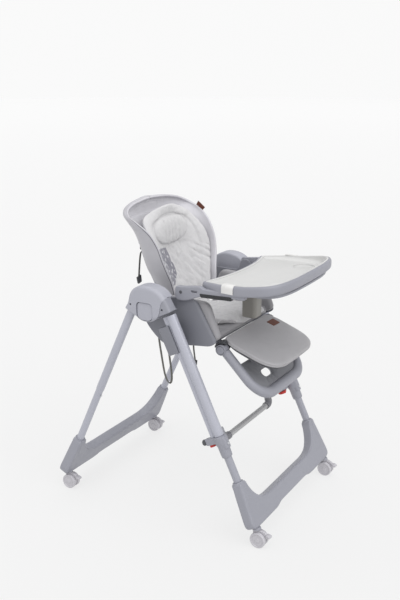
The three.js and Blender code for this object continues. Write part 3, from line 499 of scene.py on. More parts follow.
CLAMP_END, ARM_END = CLAMP_TOP + 72, CLAMP_TOP + 22
BAR_BEHIND, BAR_DOWN, ELBOW_X = 60.0, 508.0, 172.0
collar = lathe(
    [(12.9, CLAMP_TOP), (19.5, CLAMP_TOP), (21, CLAMP_TOP + 1.5), (21, ARM_END + 4), (18.6, ARM_END + 9),
     (18, CLAMP_END - 8), (17, CLAMP_END - 2), (15, CLAMP_END), (12.9, CLAMP_END)], "z", (LEG_X, 0, 0))
front_lug = slab(capsule((LEG_X - 5, -12), (LEG_X + 5, -12), 10), CLAMP_TOP + 3, ARM_END + 22, 3)
lug_screw = lathe([(0.1, -24), (4, -24), (4.6, -22), (4.6, -15), (0.1, -15)], "y", (LEG_X, 0, ARM_END + 8),
                  20)
knob_arm = slab(capsule((LEG_X, 0), (LEG_X, 46), 12), CLAMP_TOP, ARM_END, 3)
bar_arm = slab(capsule((LEG_X, 14), (ELBOW_X, BAR_BEHIND), 12), CLAMP_TOP, ARM_END, 3)
make_pair(
    "leg_clamp_{}_moulding", "front_frame", grey_plastic, "plastic",
    [placed(form, front_leg) for form in (collar, front_lug, knob_arm, bar_arm)], ["leg_clamp_{}"])
knob_at = (LEG_X, 0, CLAMP_TOP + 11)
knob = lathe([(0.1, 56), (9.4, 56), (10, 57), (10, 66), (8.5, 68), (5.5, 68), (5, 66.6), (0.1, 66.6)], "y",
             knob_at)
make_pair("clamp_knob_{}", "front_frame", dark_plastic, "dark_plastic", [placed(knob, front_leg)])
make_pair("clamp_screw_{}", "front_frame", steel, "steel", [placed(lug_screw, front_leg)])
red_plastic = moulded("red plastic", (0.5, 0.028, 0.02), 0.38)
lever_outline = rounded(
    [(LEG_X - 50, 10, 6), (LEG_X - 22, 22, 6), (LEG_X + 4, 34, 8), (LEG_X + 6, 49, 8), (LEG_X - 40, 50, 9),
     (LEG_X - 58, 30, 9)])
make_pair(
    "release_lever_{}_tab", "release_lever_{}", red_plastic, "red_plastic",
    [placed(slab(lever_outline, ARM_END + 0.3, ARM_END + 9.3, 2.6), front_leg)], ["release_lever_{}"])
bar_paint = paint("bar paint", (0.38, 0.38, 0.385), 0.34, 0.2)
elbow_plastic = moulded("elbow plastic", (0.17, 0.17, 0.185), 0.45)
bar_at = (0, BAR_BEHIND, BAR_DOWN)
make_piece(
    "crossbar_tube", "front_frame", bar_paint, "bar",
    [placed(lathe([(8.5, -156), (10, -156), (10, 156), (8.5, 156)], "x", bar_at), front_leg)], ["crossbar"])
elbow_path = smooth_path(
    [(138, BAR_BEHIND, BAR_DOWN), (150, BAR_BEHIND, BAR_DOWN), (160, BAR_BEHIND, BAR_DOWN - 2),
     (169, BAR_BEHIND, BAR_DOWN - 8), (ELBOW_X, BAR_BEHIND, ARM_END - 1)], 24)
elbow = sweep(elbow_path, circle(0, 0, 13, 32), (0, 1, 0))
make_pair(
    "crossbar_elbow_{}_sleeve", "front_frame", elbow_plastic, "dark_plastic", [placed(elbow, front_leg)],
    ["crossbar_elbow_{}"])

# ---- Feet ------------------------------------------------------------------------------------------
# Each pair of legs stands in one plastic moulding: a socket for each leg that widens into a thick bar
# with rounded edges, and a step underneath beside each caster.
BAR_TOP, BAR_BOTTOM, END_BOTTOM = 118.0, 67.0, 58.0
CASTER_X, FRONT_STEM, REAR_STEM = 276, -369, 388
FOOT_HALF_DEPTH = 18.5


def foot_forms(place, stem_y):
    """The foot's moulding, its sockets and the bosses over the casters' stems."""
    down = place.down_to
    half = [(LEG_X + 17.5, down(FOOT_TOP)), (LEG_X + 37, down(END_BOTTOM + 8), 26),
            (LEG_X + 14, down(END_BOTTOM + 2), 20), (130, down(END_BOTTOM + 2), 14),
            (106, down(BAR_BOTTOM), 14)]
    inner = [(LEG_X - 85, down(BAR_TOP), 52), (LEG_X - 37, down(150), 34), (LEG_X - 17.5, down(FOOT_TOP))]
    flip = [[(-x, *rest) for x, *rest in corners] for corners in (half, inner)]
    outline = relaxed(rounded([*half, *flip[0][::-1], *flip[1][::-1], *inner], 420), 6)
    heights = np.clip((outline[:, 1] - down(FOOT_TOP)) / 20, 0, 1)
    edge = 3 + 5 * heights
    body = slab(outline, -FOOT_HALF_DEPTH, FOOT_HALF_DEPTH, edge, "y", steps=8)
    top = down(FOOT_TOP)
    body[0][:, 1] *= 0.93 + 0.07 * np.clip((body[0][:, 2] - top) / 40, 0, 1)
    sleeve = lathe([(13, top - 2), (17.6, top - 2), (18.2, top - 1.2), (19.5, top + 60), (13, top + 60)], "z")
    sockets = [(sleeve[0] + [x, 0, 0], *sleeve[1:]) for x in (-LEG_X, LEG_X)]
    boss = lathe([(0.1, END_BOTTOM), (14, END_BOTTOM), (15, END_BOTTOM + 1), (15, 62), (12, 66),
                  (0.1, 69)], "z")
    bosses = [(boss[0] + [x, stem_y, 0], *boss[1:]) for x in (-CASTER_X, CASTER_X)]
    return [placed(form, place) for form in [body, *sockets]] + bosses


make_piece("front_foot_moulding", "front_frame", grey_plastic, "plastic", foot_forms(front_leg, FRONT_STEM),
           ["front_foot"])
make_piece("rear_foot_moulding", "rear_frame", grey_plastic, "plastic", foot_forms(rear_leg, REAR_STEM),
           ["rear_foot"])

# ---- Rear legs -------------------------------------------------------------------------------------
# A painted steel tube, drawn down to a smaller diameter above the foot, with a snap button there.
rear_end = rear_leg.down_to(FOOT_TOP) + 68
rear_tube = lathe([(11, 20), (14, 20), (14, 390), (12.75, 396), (12.75, rear_end), (11, rear_end)], "z",
                  (LEG_X, 0, 0))
snap = lathe([(4, -14.2), (3.6, -15.4), (0.1, -15.8)], "y", (LEG_X, 0, 412), 20)
make_pair(
    "rear_leg_{}_tube", "rear_frame", leg_paint, "paint", [placed(rear_tube, rear_leg)], ["rear_leg_{}"])
make_pair("snap_button_{}", "rear_frame", steel, "steel", [placed(snap, rear_leg)])

# ---- Casters ---------------------------------------------------------------------------------------
# Twin hard wheels on one axle, a body between them that swivels on a stem, and a foot brake.
caster_plastic = moulded("caster plastic", (0.47, 0.46, 0.49), 0.4)
wheel = lathe(
    [(4, 5.6), (24.5, 5.6), (26, 7), (26, 15.6), (24.6, 17.6), (22.6, 18.1), (20.6, 17.4), (19, 15.2),
     (9, 15.2),
     (7.6, 16.6), (5.4, 17.4), (0.1, 17.4)], "x", (0, 0, 26), 64)
body_outline = rounded(
    [(-20, 10, 12), (16, 14, 12), (22, 56.4, 5), (-14, 56.4, 7), (-26, 51, 4), (-26, 38, 4)], 90)
fork = slab(body_outline, -5, 5, 1.4, "x")
stem_plate = lathe([(0.1, 54.7), (12, 54.7), (13, 55.4), (13, 57.7), (0.1, 57.7)], "z", (0, 10, 0))
stem = lathe([(0.1, 57), (5, 57), (5, 82), (0.1, 82)], "z", (0, 10, 0), 24)
brake = slab(rounded([(-26.3, 48, 1), (-34, 47.5, 3), (-41, 44, 2), (-41, 39, 2), (-26.3, 42, 1)], 60), -9,
             9, 1.2, "x")
for end, stem_y in (("front", FRONT_STEM), ("rear", REAR_STEM)):
    for side, sign in (("left", 1), ("right", -1)):
        caster = f"{end}_{side}"
        forms = [[(points + [sign * CASTER_X, stem_y - 10, 0], *rest) for points, *rest in group]
                 for group in ([fork, stem_plate, stem], [wheel, *mirrored([wheel])], [brake])]
        parts = (("caster", "body", "swivel_fork"), ("wheels", "wheels", "pair"), ("brake", "brake", "tab"))
        for group, (body, node, label) in zip(forms, parts):
            make_piece(
                f"{caster}_{node}_{label}", f"{caster}_{body}", caster_plastic, "caster_plastic", group,
                [f"{end}_caster_{node}_{side}"])

# ---- Seat shells, pan and carriages ----------------------------------------------------------------
# A flat moulded shell stands on each side of the seat, with a bevel down its front edge and an ear at
# the top for the tray arm. Between them lies the pan, and behind each leg a carriage grips the rail.
def distance_to(points, line):
    """How far each point is from the nearest point of a line of points."""
    return np.linalg.norm(points[:, None] - line[None], axis=-1).min(1)


shell_outline = relaxed(rounded(
    [(-96, 757, 10), (-110, 757, 8), (-184, 628, 12), (-162, 613, 12), (-70, 603, 60), (4, 588, 40),
     (40, 612, 30),
     (82, 655, 30), (104, 716, 20), (92, 757, 12), (-38, 757, 8), (-45, 781, 12), (-53, 798, 14),
     (-80, 798, 14),
     (-88, 779, 12)], 300), 3)
front_edge = np.linspace((-110, 757), (-184, 628), 60)
shell_edge = np.clip(8.5 - 0.3 * distance_to(shell_outline, front_edge), 2.5, 8.5)
shell_plastic = moulded("shell plastic", (0.19, 0.194, 0.222), 0.44)
make_pair(
    "side_shell_{}_moulding", "seat", shell_plastic, "plastic",
    [slab(shell_outline, 205, 216, (2, shell_edge), "x")], ["side_shell_{}"])


def from_frame(node, body, material, ease=0.6):
    """A plain moulding or turning straight from the frame's solid, with its edges eased."""
    source = frame["nodes"][node]
    mesh = source.data.copy()
    mesh.transform(source.matrix_world)
    work = bmesh.new()
    work.from_mesh(mesh)
    bmesh.ops.remove_doubles(work, verts=work.verts, dist=1e-5)
    bmesh.ops.dissolve_limit(work, angle_limit=np.radians(1), verts=work.verts, edges=work.edges)
    bmesh.ops.recalc_face_normals(work, faces=work.faces)
    work.to_mesh(mesh)
    work.free()
    mesh.polygons.foreach_set("use_smooth", [True] * len(mesh.polygons))
    mesh.set_sharp_from_angle(angle=np.radians(38))
    mesh.materials.clear()
    mesh.materials.append(material)
    piece = bpy.data.objects.new(f"{node}_piece", mesh)
    bpy.context.scene.collection.objects.link(piece)
    edges = piece.modifiers.new("edges", "BEVEL")
    edges.width, edges.segments, edges.angle_limit = ease / 1000, 2, np.radians(50)
    edges.harden_normals = True
    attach(piece, body)
    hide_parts(node)
    return piece


from_frame("seat_pan", "seat", shell_plastic)
from_frame("recline_axle", "seat", steel, 0.3)
for side in ("left", "right"):
    from_frame(f"carriage_{side}", "seat", shell_plastic, 0.8)

# ---- Padded seat cover -----------------------------------------------------------------------------
# A foam cushion and a bolster along each side, covered in light grey leathercloth.
def leathercloth(name, colour, roughness=0.46):
    """Coated fabric: a pebbled grain, a soft sheen, and slight wear in its gloss. It is painted paler where
    the mesh's own attribute for it says so: painted light that lifts the shade in a hollow."""
    material, tree, shader = new_material(
        name, colour, roughness, Sheen_Weight=0.12, Sheen_Roughness=0.5, Specular_IOR_Level=0.4)
    dull = vary_colour(tree, shader, colour, 0.03, object_noise(tree, 14, 4))
    # Painted light: where the attribute is 1 the colour gets 0.125 more, lifting the shade of a hollow.
    mask = add_node(tree, "Attribute")
    mask.attribute_name = "painted_hollow_light"
    mix = add_node(tree, "Mix")
    mix.data_type = "RGBA"
    mix.blend_type = "ADD"
    mix.inputs["B"].default_value = (0.125, 0.123, 0.127, 1)
    tree.links.new(mask.outputs["Fac"], mix.inputs["Factor"])
    tree.links.new(dull, mix.inputs["A"])
    tree.links.new(mix.outputs["Result"], shader.inputs["Base Color"])
    vary_roughness(tree, shader, roughness - 0.06, roughness + 0.08, object_noise(tree, 40, 3))
    coordinates = add_node(tree, "TexCoord")
    cells = add_node(tree, "TexVoronoi", Scale=900)
    cells.feature = "DISTANCE_TO_EDGE"
    tree.links.new(coordinates.outputs["Object"], cells.inputs["Vector"])
    add_bump(tree, shader, cells.outputs["Distance"], 0.00012, 0.5)
    add_bump(tree, shader, object_noise(tree, 70, 4), 0.0007, 0.35)
    return material


leather = leathercloth("grey leathercloth", (0.43, 0.425, 0.455))
side_leather = leathercloth("seat leathercloth", (0.3, 0.295, 0.31))


def value_noise(points, scale, seed):
    """Smooth noise in -1..1 at points: random numbers on a lattice, eased between its corners."""
    cell = np.asarray(points, float) * scale
    low = np.floor(cell).astype(int)
    part = cell - low
    part = part * part * (3 - 2 * part)
    total = np.zeros(cell.shape[:-1])
    for corner in np.ndindex(2, 2, 2):
        key = (low + corner) @ np.array([73856093, 19349663, 83492791]) + seed * 9176
        value = np.sin(key.astype(float) * 12.9898) * 43758.5453
        weight = np.prod(np.where(corner, part, 1 - part), axis=-1)
        total += weight * (2 * (value - np.floor(value)) - 1)
    return total


cushion = relaxed(rounded([(-168, 622, 10), (-163, 648, 16), (20, 651, 24), (44, 646, 12), (42, 628, 8),
                           (4, 604, 20),
                           (-70, 609, 30), (-156, 619, 8)], 200), 3)
bolster = relaxed(rounded([(-190, 640, 12), (-146, 752, 22), (24, 756, 24), (46, 690, 16), (38, 634, 8),
                           (4, 608, 20),
                           (-70, 614, 30), (-170, 626, 8)], 240), 3)
seat_pad = make_piece(
    "seat_cushion", "seat", side_leather, "leather",
    [slab(cushion, -186, 186, 9, "x"), slab(bolster, 180, 204.6, (11, 11), "x"),
     *mirrored([slab(bolster, 180, 204.6, (11, 11), "x")])], ["seat_pad"])

# ---- Backrest --------------------------------------------------------------------------------------
# A moulded plastic shell, deeply curved, with a foam pad inside it. The pad's leathercloth rolls over
# the rim, where a piping is sewn in, and wraps back around the outside of the shell. The piping is near
# black, a painted shadow line along the rim on top of the seam itself.
STATIONS = np.array([
    [676, 128, 27, 90], [700, 134, 19, 112], [740, 142, 19, 136], [780, 151, 24.5, 154],
    [820, 167, 32.5, 166],
    [860, 179, 42.5, 174], [900, 184, 56, 184], [940, 190, 81, 197], [970, 196, 117, 209],
    [994, 191, 157, 219],
    [1012, 162, 184, 224], [1024, 110, 197, 226], [1030, 40, 203, 228], [1031.5, 3, 205, 228]],
    float)  # height, half width, rim, rear
stations = smooth_path(np.column_stack([STATIONS, np.arange(14) * 4.0]), 130)[:, :4]
rise = np.gradient(stations[:, [1, 0]], axis=0)
facing = np.stack([rise[:, 1], -rise[:, 0]], -1) / np.linalg.norm(rise, axis=1, keepdims=True)
facing = np.maximum(facing, [0, -0.2])  # the silhouette's outward normal, in x and z


def ramp(value, low, high):
    """0 below low, 1 above high, and eased between them."""
    t = np.clip((value - low) / (high - low), 0, 1)
    return t * t * (3 - 2 * t)


def back_surface(turn, depth, ahead=0.0, rows=stations):
    """Points on the back at each station: turn runs from -90 at one rim through 0 at the rear to 90, and
    depth is how far inside the outer face. The section is a superellipse of power 0.77."""
    z, half, rim, rear = rows.T[:, :, None]
    aside, above = facing.T[:, :, None]
    turn, depth, ahead = (np.atleast_2d(v) for v in (np.radians(turn), depth, ahead))
    across = np.sign(np.sin(turn)) * np.abs(np.sin(turn)) ** 0.77
    deep = np.maximum(0, np.cos(turn)) ** 0.77
    x = across * np.maximum(half - depth * aside, 0)
    y = rim - ahead + deep * (rear - depth - rim)
    return np.stack([x, y + 0 * x, z - depth * above + 0 * x], -1)


def joined(*parts):
    """Sets of (turn, depth, ahead) columns end to end, for every station."""
    wide = [[np.broadcast_to(np.atleast_2d(v), (len(stations),
                                                np.shape(part[0])[-1])) for v in part] for part in parts]
    return [np.concatenate([part[k] for part in wide], axis=1) for k in range(3)]


def flipped(part):
    """The same columns on the other side of the back."""
    return tuple(-v[..., ::-1] if k == 0 else np.atleast_2d(v)[..., ::-1] for k, v in enumerate(part))


wrap_start = np.interp(stations[:, 0], [676, 740, 830, 900], [-80, -74, -40, -24])[:, None]
outer_turn = wrap_start + (-90 - wrap_start) * np.linspace(0, 1, 26)
roll = np.radians(np.linspace(8, 172, 9))
inner_turn = 90 * np.sin(np.radians(np.linspace(-90, 90, 100)))
inner_depth = 8.6 + 9.4 * ramp(90 - np.abs(inner_turn), 2, 42)
near_roll = (np.full(9, -90.0), 4.3 - 4.3 * np.cos(roll), 5.0 * np.sin(roll))
outer_skin = (outer_turn, 0.3, 0)
section = joined(
    outer_skin, near_roll, (inner_turn, inner_depth, 0), flipped(near_roll), flipped(outer_skin),
    (-outer_turn, 1.9, 0), (inner_turn[::-1], 5.4, 0), (outer_turn[..., ::-1], 1.9, 0))
pad_points = back_surface(*section)
inside = np.arange(outer_turn.shape[1] + 9, outer_turn.shape[1] + 109)
soft = pad_points[:, inside]
crease = value_noise(soft * [1.4, 0, 0.12], 0.045, 3) + 0.5 * value_noise(soft * [1.2, 0, 0.35], 0.1, 4)
pad_points[:, inside, 1] += 1.8 * crease * np.cos(np.radians(inner_turn)) ** 0.5
back_pad = make_piece(
    "back_cover", "back", leather, "leather", [grid_form(pad_points, caps=True)], ["back_pad"], sharp=60)
# Painted light: the cloth that faces into the back's hollow is marked to be painted paler, lifting the shade
# that falls there.
flats = np.empty((2, len(back_pad.data.vertices) * 3))
back_pad.data.vertices.foreach_get("co", flats[0])
back_pad.data.vertices.foreach_get("normal", flats[1])
spots, normals = flats.reshape(2, -1, 3)
inwards = np.sum(normals[:, :2] * ([0, 0.05] - spots[:, :2]), 1) / np.linalg.norm([0, 0.05] - spots[:, :2],
    axis=1)
back_pad.data.attributes.new("painted_hollow_light", "FLOAT", "POINT").data.foreach_set("value", ramp(inwards, -0.3, 0.25))
shell_turn = np.linspace(-89, 89, 70)
shell_section = joined((shell_turn, 2.0, 0), (shell_turn[::-1], 5, 0))
ear = rounded([(58, 650, 6), (64, 638, 6), (80, 638, 6), (84, 660, 6), (88, 698, 4), (72, 698, 4),
               (62, 670, 6)], 70)
housing = rounded([(169, 870, 4), (222, 868, 10), (226, 935, 14), (199.5, 941, 3), (181, 900, 3)], 90)
make_piece(
    "back_shell_moulding", "back", grey_plastic, "plastic",
    [grid_form(back_surface(*shell_section), caps=True), slab(ear, 104, 116, 1.5, "x"),
     *mirrored([slab(ear, 104, 116, 1.5, "x")])], ["back_shell"])
back_housing = make_piece("recline_housing", "back", grey_plastic, "plastic",
                          [slab(housing, -48, 48, 5, "x")])
pocket = rounded([(-33, 843, 6), (33, 843, 6), (33, 929, 6), (-33, 929, 6)], 90)
carve(back_housing, [slab(pocket, 215.6, 250, 0.01, "y", steps=2)], ease=0.8)
handle_outline = rounded([(-30, 846, 5), (30, 846, 5), (30, 914, 5), (-30, 914, 5)], 90)
handle = make_piece(
    "recline_handle_grip", "recline_handle", dark_plastic, "dark_plastic",
    [slab(handle_outline, 216.4, 227.6, 2, "y")], ["recline_handle"])
carve(handle, [slab(capsule((-12, 857), (12, 857), 6), 200, 240, 0.01, "y", steps=2)], ease=0.8)
# Painted shadow: the piping is a real seam, but its near-black colour paints the shadow line along the rim.
piping_painted_shadow, _, _ = new_material("dark piping", (0.12, 0.12, 0.14), 0.6)
rim_line = back_surface([-90.0], [0.4], [1.5])[:, 0]
rim_line = smooth_path(rim_line[rim_line[:, 2] < 992][::3], 150)
thin = np.interp(np.arange(150), [0, 120, 149], [1.4, 1.2, 0.3])[:, None, None]
piping = sweep(rim_line, circle(0, 0, 1, 8) * thin, (0, 1, 0.01))
make_piece("back_piping", "back", piping_painted_shadow, "leather", [piping, *mirrored([piping])])

# ---- Infant liner ----------------------------------------------------------------------------------
# A soft quilted insert that lies in the hollow of the back: a padded ring around its edge, a raised
# head pillow with sewn channels, a panel of printed cloth on one side and ruffles on the other. Its
# tongue lies loose over the front of the seat.
LINER = np.array([
    [662, 96, 22, 40], [700, 112, 23, 62], [740, 122, 30, 77], [780, 134, 38, 92], [820, 149, 49, 105],
    [860, 160, 57, 117], [900, 161, 75, 125], [930, 158, 98, 127], [950, 151, 118, 128], [970, 139, 136, 130],
    [985, 114, 146, 133], [997, 76, 142, 133], [1006, 42, 136, 132], [1010, 4, 133, 131]], float)
liner_table = smooth_path(LINER, 200)
right_side = np.vstack([[(84, 658)], liner_table[3:, [1, 0]]])
liner_outline = relaxed(evenly(np.vstack([right_side, right_side[::-1] * [-1, 1]]), 360), 5)


def trough(x, z):
    """The y of the liner's front before any padding: a trough that is deepest in the middle."""
    half, edge, middle = (np.interp(z, liner_table[:, 0], liner_table[:, k]) for k in (1, 2, 3))
    return middle + (edge - middle) * np.minimum(1.1, np.abs(x) / np.maximum(half, 8)) ** 2.2


def liner_relief(x, z, share):
    """How far the padding stands forward: ring, pillow with channels, panel folds and ruffles."""
    ring = 6.5 * np.sqrt(np.clip(1 - ((share - 0.905) / 0.095) ** 2, 0,
                                 1)) - 2.5 * np.exp(-(((share - 0.81) / 0.012) ** 2))
    reach = np.sqrt((np.abs(x) / 97) ** 2.6 + (np.abs(z - 926) / np.where(z > 926, 46,
        40 + 8 * (1 - (x / 97) ** 2))) ** 2.6)
    pillow = 17 * np.sqrt(np.clip(1 - reach**2.2, 0, 1)) - 1.6 * np.exp(-(((reach - 1.03) / 0.05) ** 2))
    channels = -3.0 * np.exp(-((((x + 10) % 22 - 11) / 2.4) ** 2)) * ramp(0.86 - reach, 0,
        0.15) * (np.abs(x) < 62)
    points = np.stack([x, 0 * x, z], -1)
    lean = np.stack([x * 0.75 + z * 0.4, 0 * x, z * 0.22 - x * 0.3], -1)
    below = ramp(885 - z, 0, 25) * ramp(0.8 - share, 0, 0.1)
    folds = (3.2 * value_noise(lean, 0.035, 5) + 1.8 * value_noise(points, 0.05, 8)) * below
    sharp = np.abs(value_noise(lean, 0.045, 15)) + 0.6 * np.abs(value_noise(lean, 0.09, 16)) - 0.45
    folds += 5 * sharp * ramp(905 - z, 0, 40) * ramp(0.93 - share, 0, 0.1)
    fan = np.stack([np.arctan2(z - 900, x) * 60, 0 * x, np.hypot(x, z - 900) * 0.2], -1)
    folds += 2.6 * (np.abs(value_noise(fan, 0.09, 17)) - 0.35) * ramp(reach, 1.0, 1.15) * (x > 0) * ramp(z,
        880, 910)
    pleat = np.abs(np.sin((z + 0.9 * x + 7 * value_noise(points, 0.04, 2)) * np.pi / 31)) ** 0.6 * 6 - 3.4
    ruffles = pleat * ramp(x, 84, 108) * ramp(z, 776, 800) * ramp(862 - z, 0, 14)
    crumple = 0.8 * value_noise(points, 0.09, 11) + 0.5 * value_noise(points, 0.2, 12)
    return ring + pillow + channels + folds + ruffles + crumple


def liner_cloth():
    """Off-white jersey, with a printed cotton where the mesh's own "printed" attribute says so."""
    material, tree, shader = new_material(
        "liner cloth", (0.58, 0.575, 0.585), 0.88, Sheen_Weight=0.35, Sheen_Roughness=0.6,
        Specular_IOR_Level=0.25)
    plain = vary_colour(tree, shader, (0.56, 0.555, 0.565), 0.02, object_noise(tree, 30, 3))
    coordinates = add_node(tree, "TexCoord")
    warp = add_node(tree, "TexNoise", Scale=60, Detail=1)
    shift = add_node(tree, "VectorMath")
    shift.operation = "MULTIPLY_ADD"
    shift.inputs[1].default_value = (0.012, 0.012, 0.012)
    tree.links.new(coordinates.outputs["Object"], warp.inputs["Vector"])
    tree.links.new(warp.outputs["Color"], shift.inputs[0])
    tree.links.new(coordinates.outputs["Object"], shift.inputs[2])
    motifs = add_node(tree, "TexVoronoi", Scale=62)
    tree.links.new(shift.outputs["Vector"], motifs.inputs["Vector"])
    edge = add_node(tree, "ValToRGB")
    edge.color_ramp.elements[0].position, edge.color_ramp.elements[1].position = 0.3, 0.36
    edge.color_ramp.elements[0].color, edge.color_ramp.elements[1].color = (0.5, 0.5, 0.53, 1), (0.2,
        0.198, 0.235, 1)
    tree.links.new(motifs.outputs["Distance"], edge.inputs["Fac"])
    mask = add_node(tree, "Attribute")
    mask.attribute_name = "printed"
    mix = add_node(tree, "Mix")
    mix.data_type = "RGBA"
    tree.links.new(mask.outputs["Fac"], mix.inputs["Factor"])
    tree.links.new(plain, mix.inputs["A"])
    tree.links.new(edge.outputs["Color"], mix.inputs["B"])
    tree.links.new(mix.outputs["Result"], shader.inputs["Base Color"])
    add_bump(tree, shader, object_noise(tree, 1100, 2), 0.0003, 0.6)
    add_bump(tree, shader, object_noise(tree, 110, 4), 0.0016, 0.5)
    return material


cloth = liner_cloth()
centre = np.array([0, 850.0])
shares = np.concatenate([1 - 0.2 * np.linspace(0, 1, 26) ** 1.6, np.linspace(0.79, 0.02, 74)])
flat = centre + (liner_outline - centre) * shares[:, None, None]
front = trough(flat[..., 0], flat[..., 1]) - liner_relief(flat[..., 0], flat[..., 1], shares[:, None])
back_shares = np.array([0.02, 0.3, 0.6, 0.85, 0.96])
flat_back = centre + (liner_outline - centre) * back_shares[:, None, None]
behind = trough(flat_back[..., 0], flat_back[..., 1]) + 12
grid = np.concatenate([np.stack([flat_back[..., 0], behind, flat_back[..., 1]], -1),
                       np.stack([flat[..., 0], front, flat[..., 1]], -1)])
liner = make_piece("liner_quilt", "back", cloth, "cloth", [grid_form(grid, caps=True)], ["liner"], sharp=80)


def print_on(piece, strength):
    """Writes how strongly each point of a cloth piece is printed, from its own x and height."""
    points = np.empty(len(piece.data.vertices) * 3)
    piece.data.vertices.foreach_get("co", points)
    x, y, z = points.reshape(-1, 3).T * 1000
    piece.data.attributes.new("printed", "FLOAT", "POINT").data.foreach_set("value", strength(x, y, z))


def strip_border(z):
    """How far the printed strip reaches towards the middle of the liner at each height."""
    return np.interp(z, [747, 774, 815, 863, 880], [-36, -4, -12, -30, -38])


print_on(liner, lambda x, y, z: ramp(strip_border(z) - x, 0, 3) * ramp(z, 742,
    746) * ramp(874 - z - 0.12 * (x + 70), 0, 4))

# ---- Liner's tongue on the seat ----------------------------------------------------------------------
# The lower part of the liner lies over the cushion in soft creases and ends at the seat's front edge.
seat_line = smooth_path([(30, 672), (10, 659), (-30, 656), (-110, 655), (-150, 653), (-166, 646),
                         (-171, 636)], 70)
across = np.linspace(-1, 1, 110)
far_half, near_half = 96 + 56 * ramp(-seat_line[:, 0], -10, 60), 96 + 8 * ramp(-seat_line[:, 0], -10, 60)
x = np.where(across > 0, across * far_half[:, None], across * near_half[:, None])
along = np.linspace(0, 1, 70)[:, None]
normal = np.gradient(seat_line, axis=0)
normal = np.stack([normal[:, 1], -normal[:, 0]], -1) / np.linalg.norm(normal, axis=1, keepdims=True)
normal *= np.sign(normal[30, 1])
creases = np.stack([(x * 0.8 + along * 60).ravel(), 0 * x.ravel(), (along * 190 - 0.3 * x).ravel() * 0.5], -1)
puff = 4 + 4.2 * value_noise(creases, 0.03, 21) + 5 * np.abs(value_noise(creases, 0.06,
    22)) + 2.4 * np.abs(value_noise(creases, 0.13, 23))
puff = puff.reshape(x.shape) * ramp(1 - np.abs(across), 0, 0.12)[None,
    :] * np.sqrt(ramp(1 - along, 0, 0.12)) + 1.2


def laid(lift):
    """The tongue's surface at a height above the cushion."""
    flat = seat_line[:, None] + normal[:, None] * lift[..., None]
    return np.stack([x, flat[..., 0], flat[..., 1]], -1)


tongue_grid = np.concatenate([laid(puff), laid(0 * puff - 1.5)[:, ::-1]], axis=1)
share = np.interp(across, [-1, -0.8, -0.5, 0, 1], [0.76, 0.84, 0.94, 1, 1])
row = np.arange(70)[:, None] * np.concatenate([share, share[::-1]])
low_row, part = np.floor(row).astype(int), (row % 1)[..., None]
column = np.arange(220)
tongue_grid = (1 - part) * tongue_grid[low_row, column] + part * tongue_grid[np.minimum(low_row + 1, 69),
    column]
seat_liner = make_piece("liner_tongue", "seat", cloth, "cloth", [grid_form(tongue_grid, caps=True)], sharp=80)
print_on(seat_liner, lambda x, y, z: 0 * x)

# ---- Tray arms -------------------------------------------------------------------------------------
# A flat moulded arm runs forward from an ear of each side shell and dips under the tray. A screw and a
# slot show in its outer face, and a near-black rail lies along its foot, under the tray's side: its black
# is partly painted shade, the shadow of the channel under the tray.
ARM_AT = np.array([-66.0, 779.0])
arm_outline = relaxed(rounded(
    [(-43, 779, 23), (-43, 802, 23), (-66, 802, 10), (-136, 811, 8), (-146, 803.6, 6), (-292, 803.6, 6),
     (-292, 787, 6),
     (-150, 784, 14), (-80, 756, 16), (-43, 756, 23)], 260), 2)
arm_screw = lathe([(0.1, 231.4), (4.4, 231.4), (5.2, 232.2), (5.2, 233.6), (4.2, 234.2), (0.1, 234.2)],
                  "x", (0, -65, 784), 28)
arm_slot = slab(capsule((-106, 791.5), (-122, 792), 3.4), 226, 240, 0.01, "x", steps=2)
rail = slab(rounded([(-134, 788.5, 2), (-246, 792, 2), (-246, 780, 2), (-138, 776.5, 2)], 60), 217, 234.5,
            1, "x")
arm_pin = lathe([(0.1, 206), (6, 206), (6, 218), (0.1, 218)], "x", (0, *ARM_AT), 24)
# Painted shade: the rail is blacker than the other dark plastics, standing in partly for the shadow under the
# tray's side.
rail_plastic_painted_shade = moulded("rail plastic", (0.022, 0.023, 0.026), 0.55)
for side, mirror in (("left", lambda forms: forms), ("right", mirrored)):
    tray_arm = make_piece(
        f"tray_arm_{side}_moulding", "arms", grey_plastic, "plastic",
        mirror([slab(arm_outline, 216.6, 233, (2, 4), "x")]), [f"tray_arm_{side}"])
    carve(tray_arm, mirror([arm_slot]), ease=0.6)
    make_piece(f"arm_pivot_{side}", "arms", grey_plastic, "plastic", mirror([arm_pin]))
    make_piece(f"arm_screw_{side}", "arms", dark_plastic, "dark_plastic", mirror([arm_screw]))
    make_piece(f"arm_rail_{side}", "arms", rail_plastic_painted_shade, "dark_plastic", mirror([rail]))

# ---- Tray ------------------------------------------------------------------------------------------
# A grey base with a deep rounded rim, and a glossy white top that drops into it, with a low rim of its
# own and a recess for a cup. A white clip hooks over each side of the rim.
right_half = [(0, -158, 60), (110, -150, 50), (206, -122, 16), (234, -200, 20), (246, -330, 76),
              (224, -388, 60),
              (150, -412, 60), (0, -416, 120)]
tray_plan = relaxed(rounded([*right_half, *[(-x, y, r) for x, y, r in right_half[-2:0:-1]]], 420, 16), 2)
rim_height = np.interp(-tray_plan[:, 1], [120, 200, 290, 350, 410], [820, 825, 832, 840, 847])
skirt_height = np.interp(-tray_plan[:, 1], [120, 200, 300, 410], [786, 789, 800, 815])

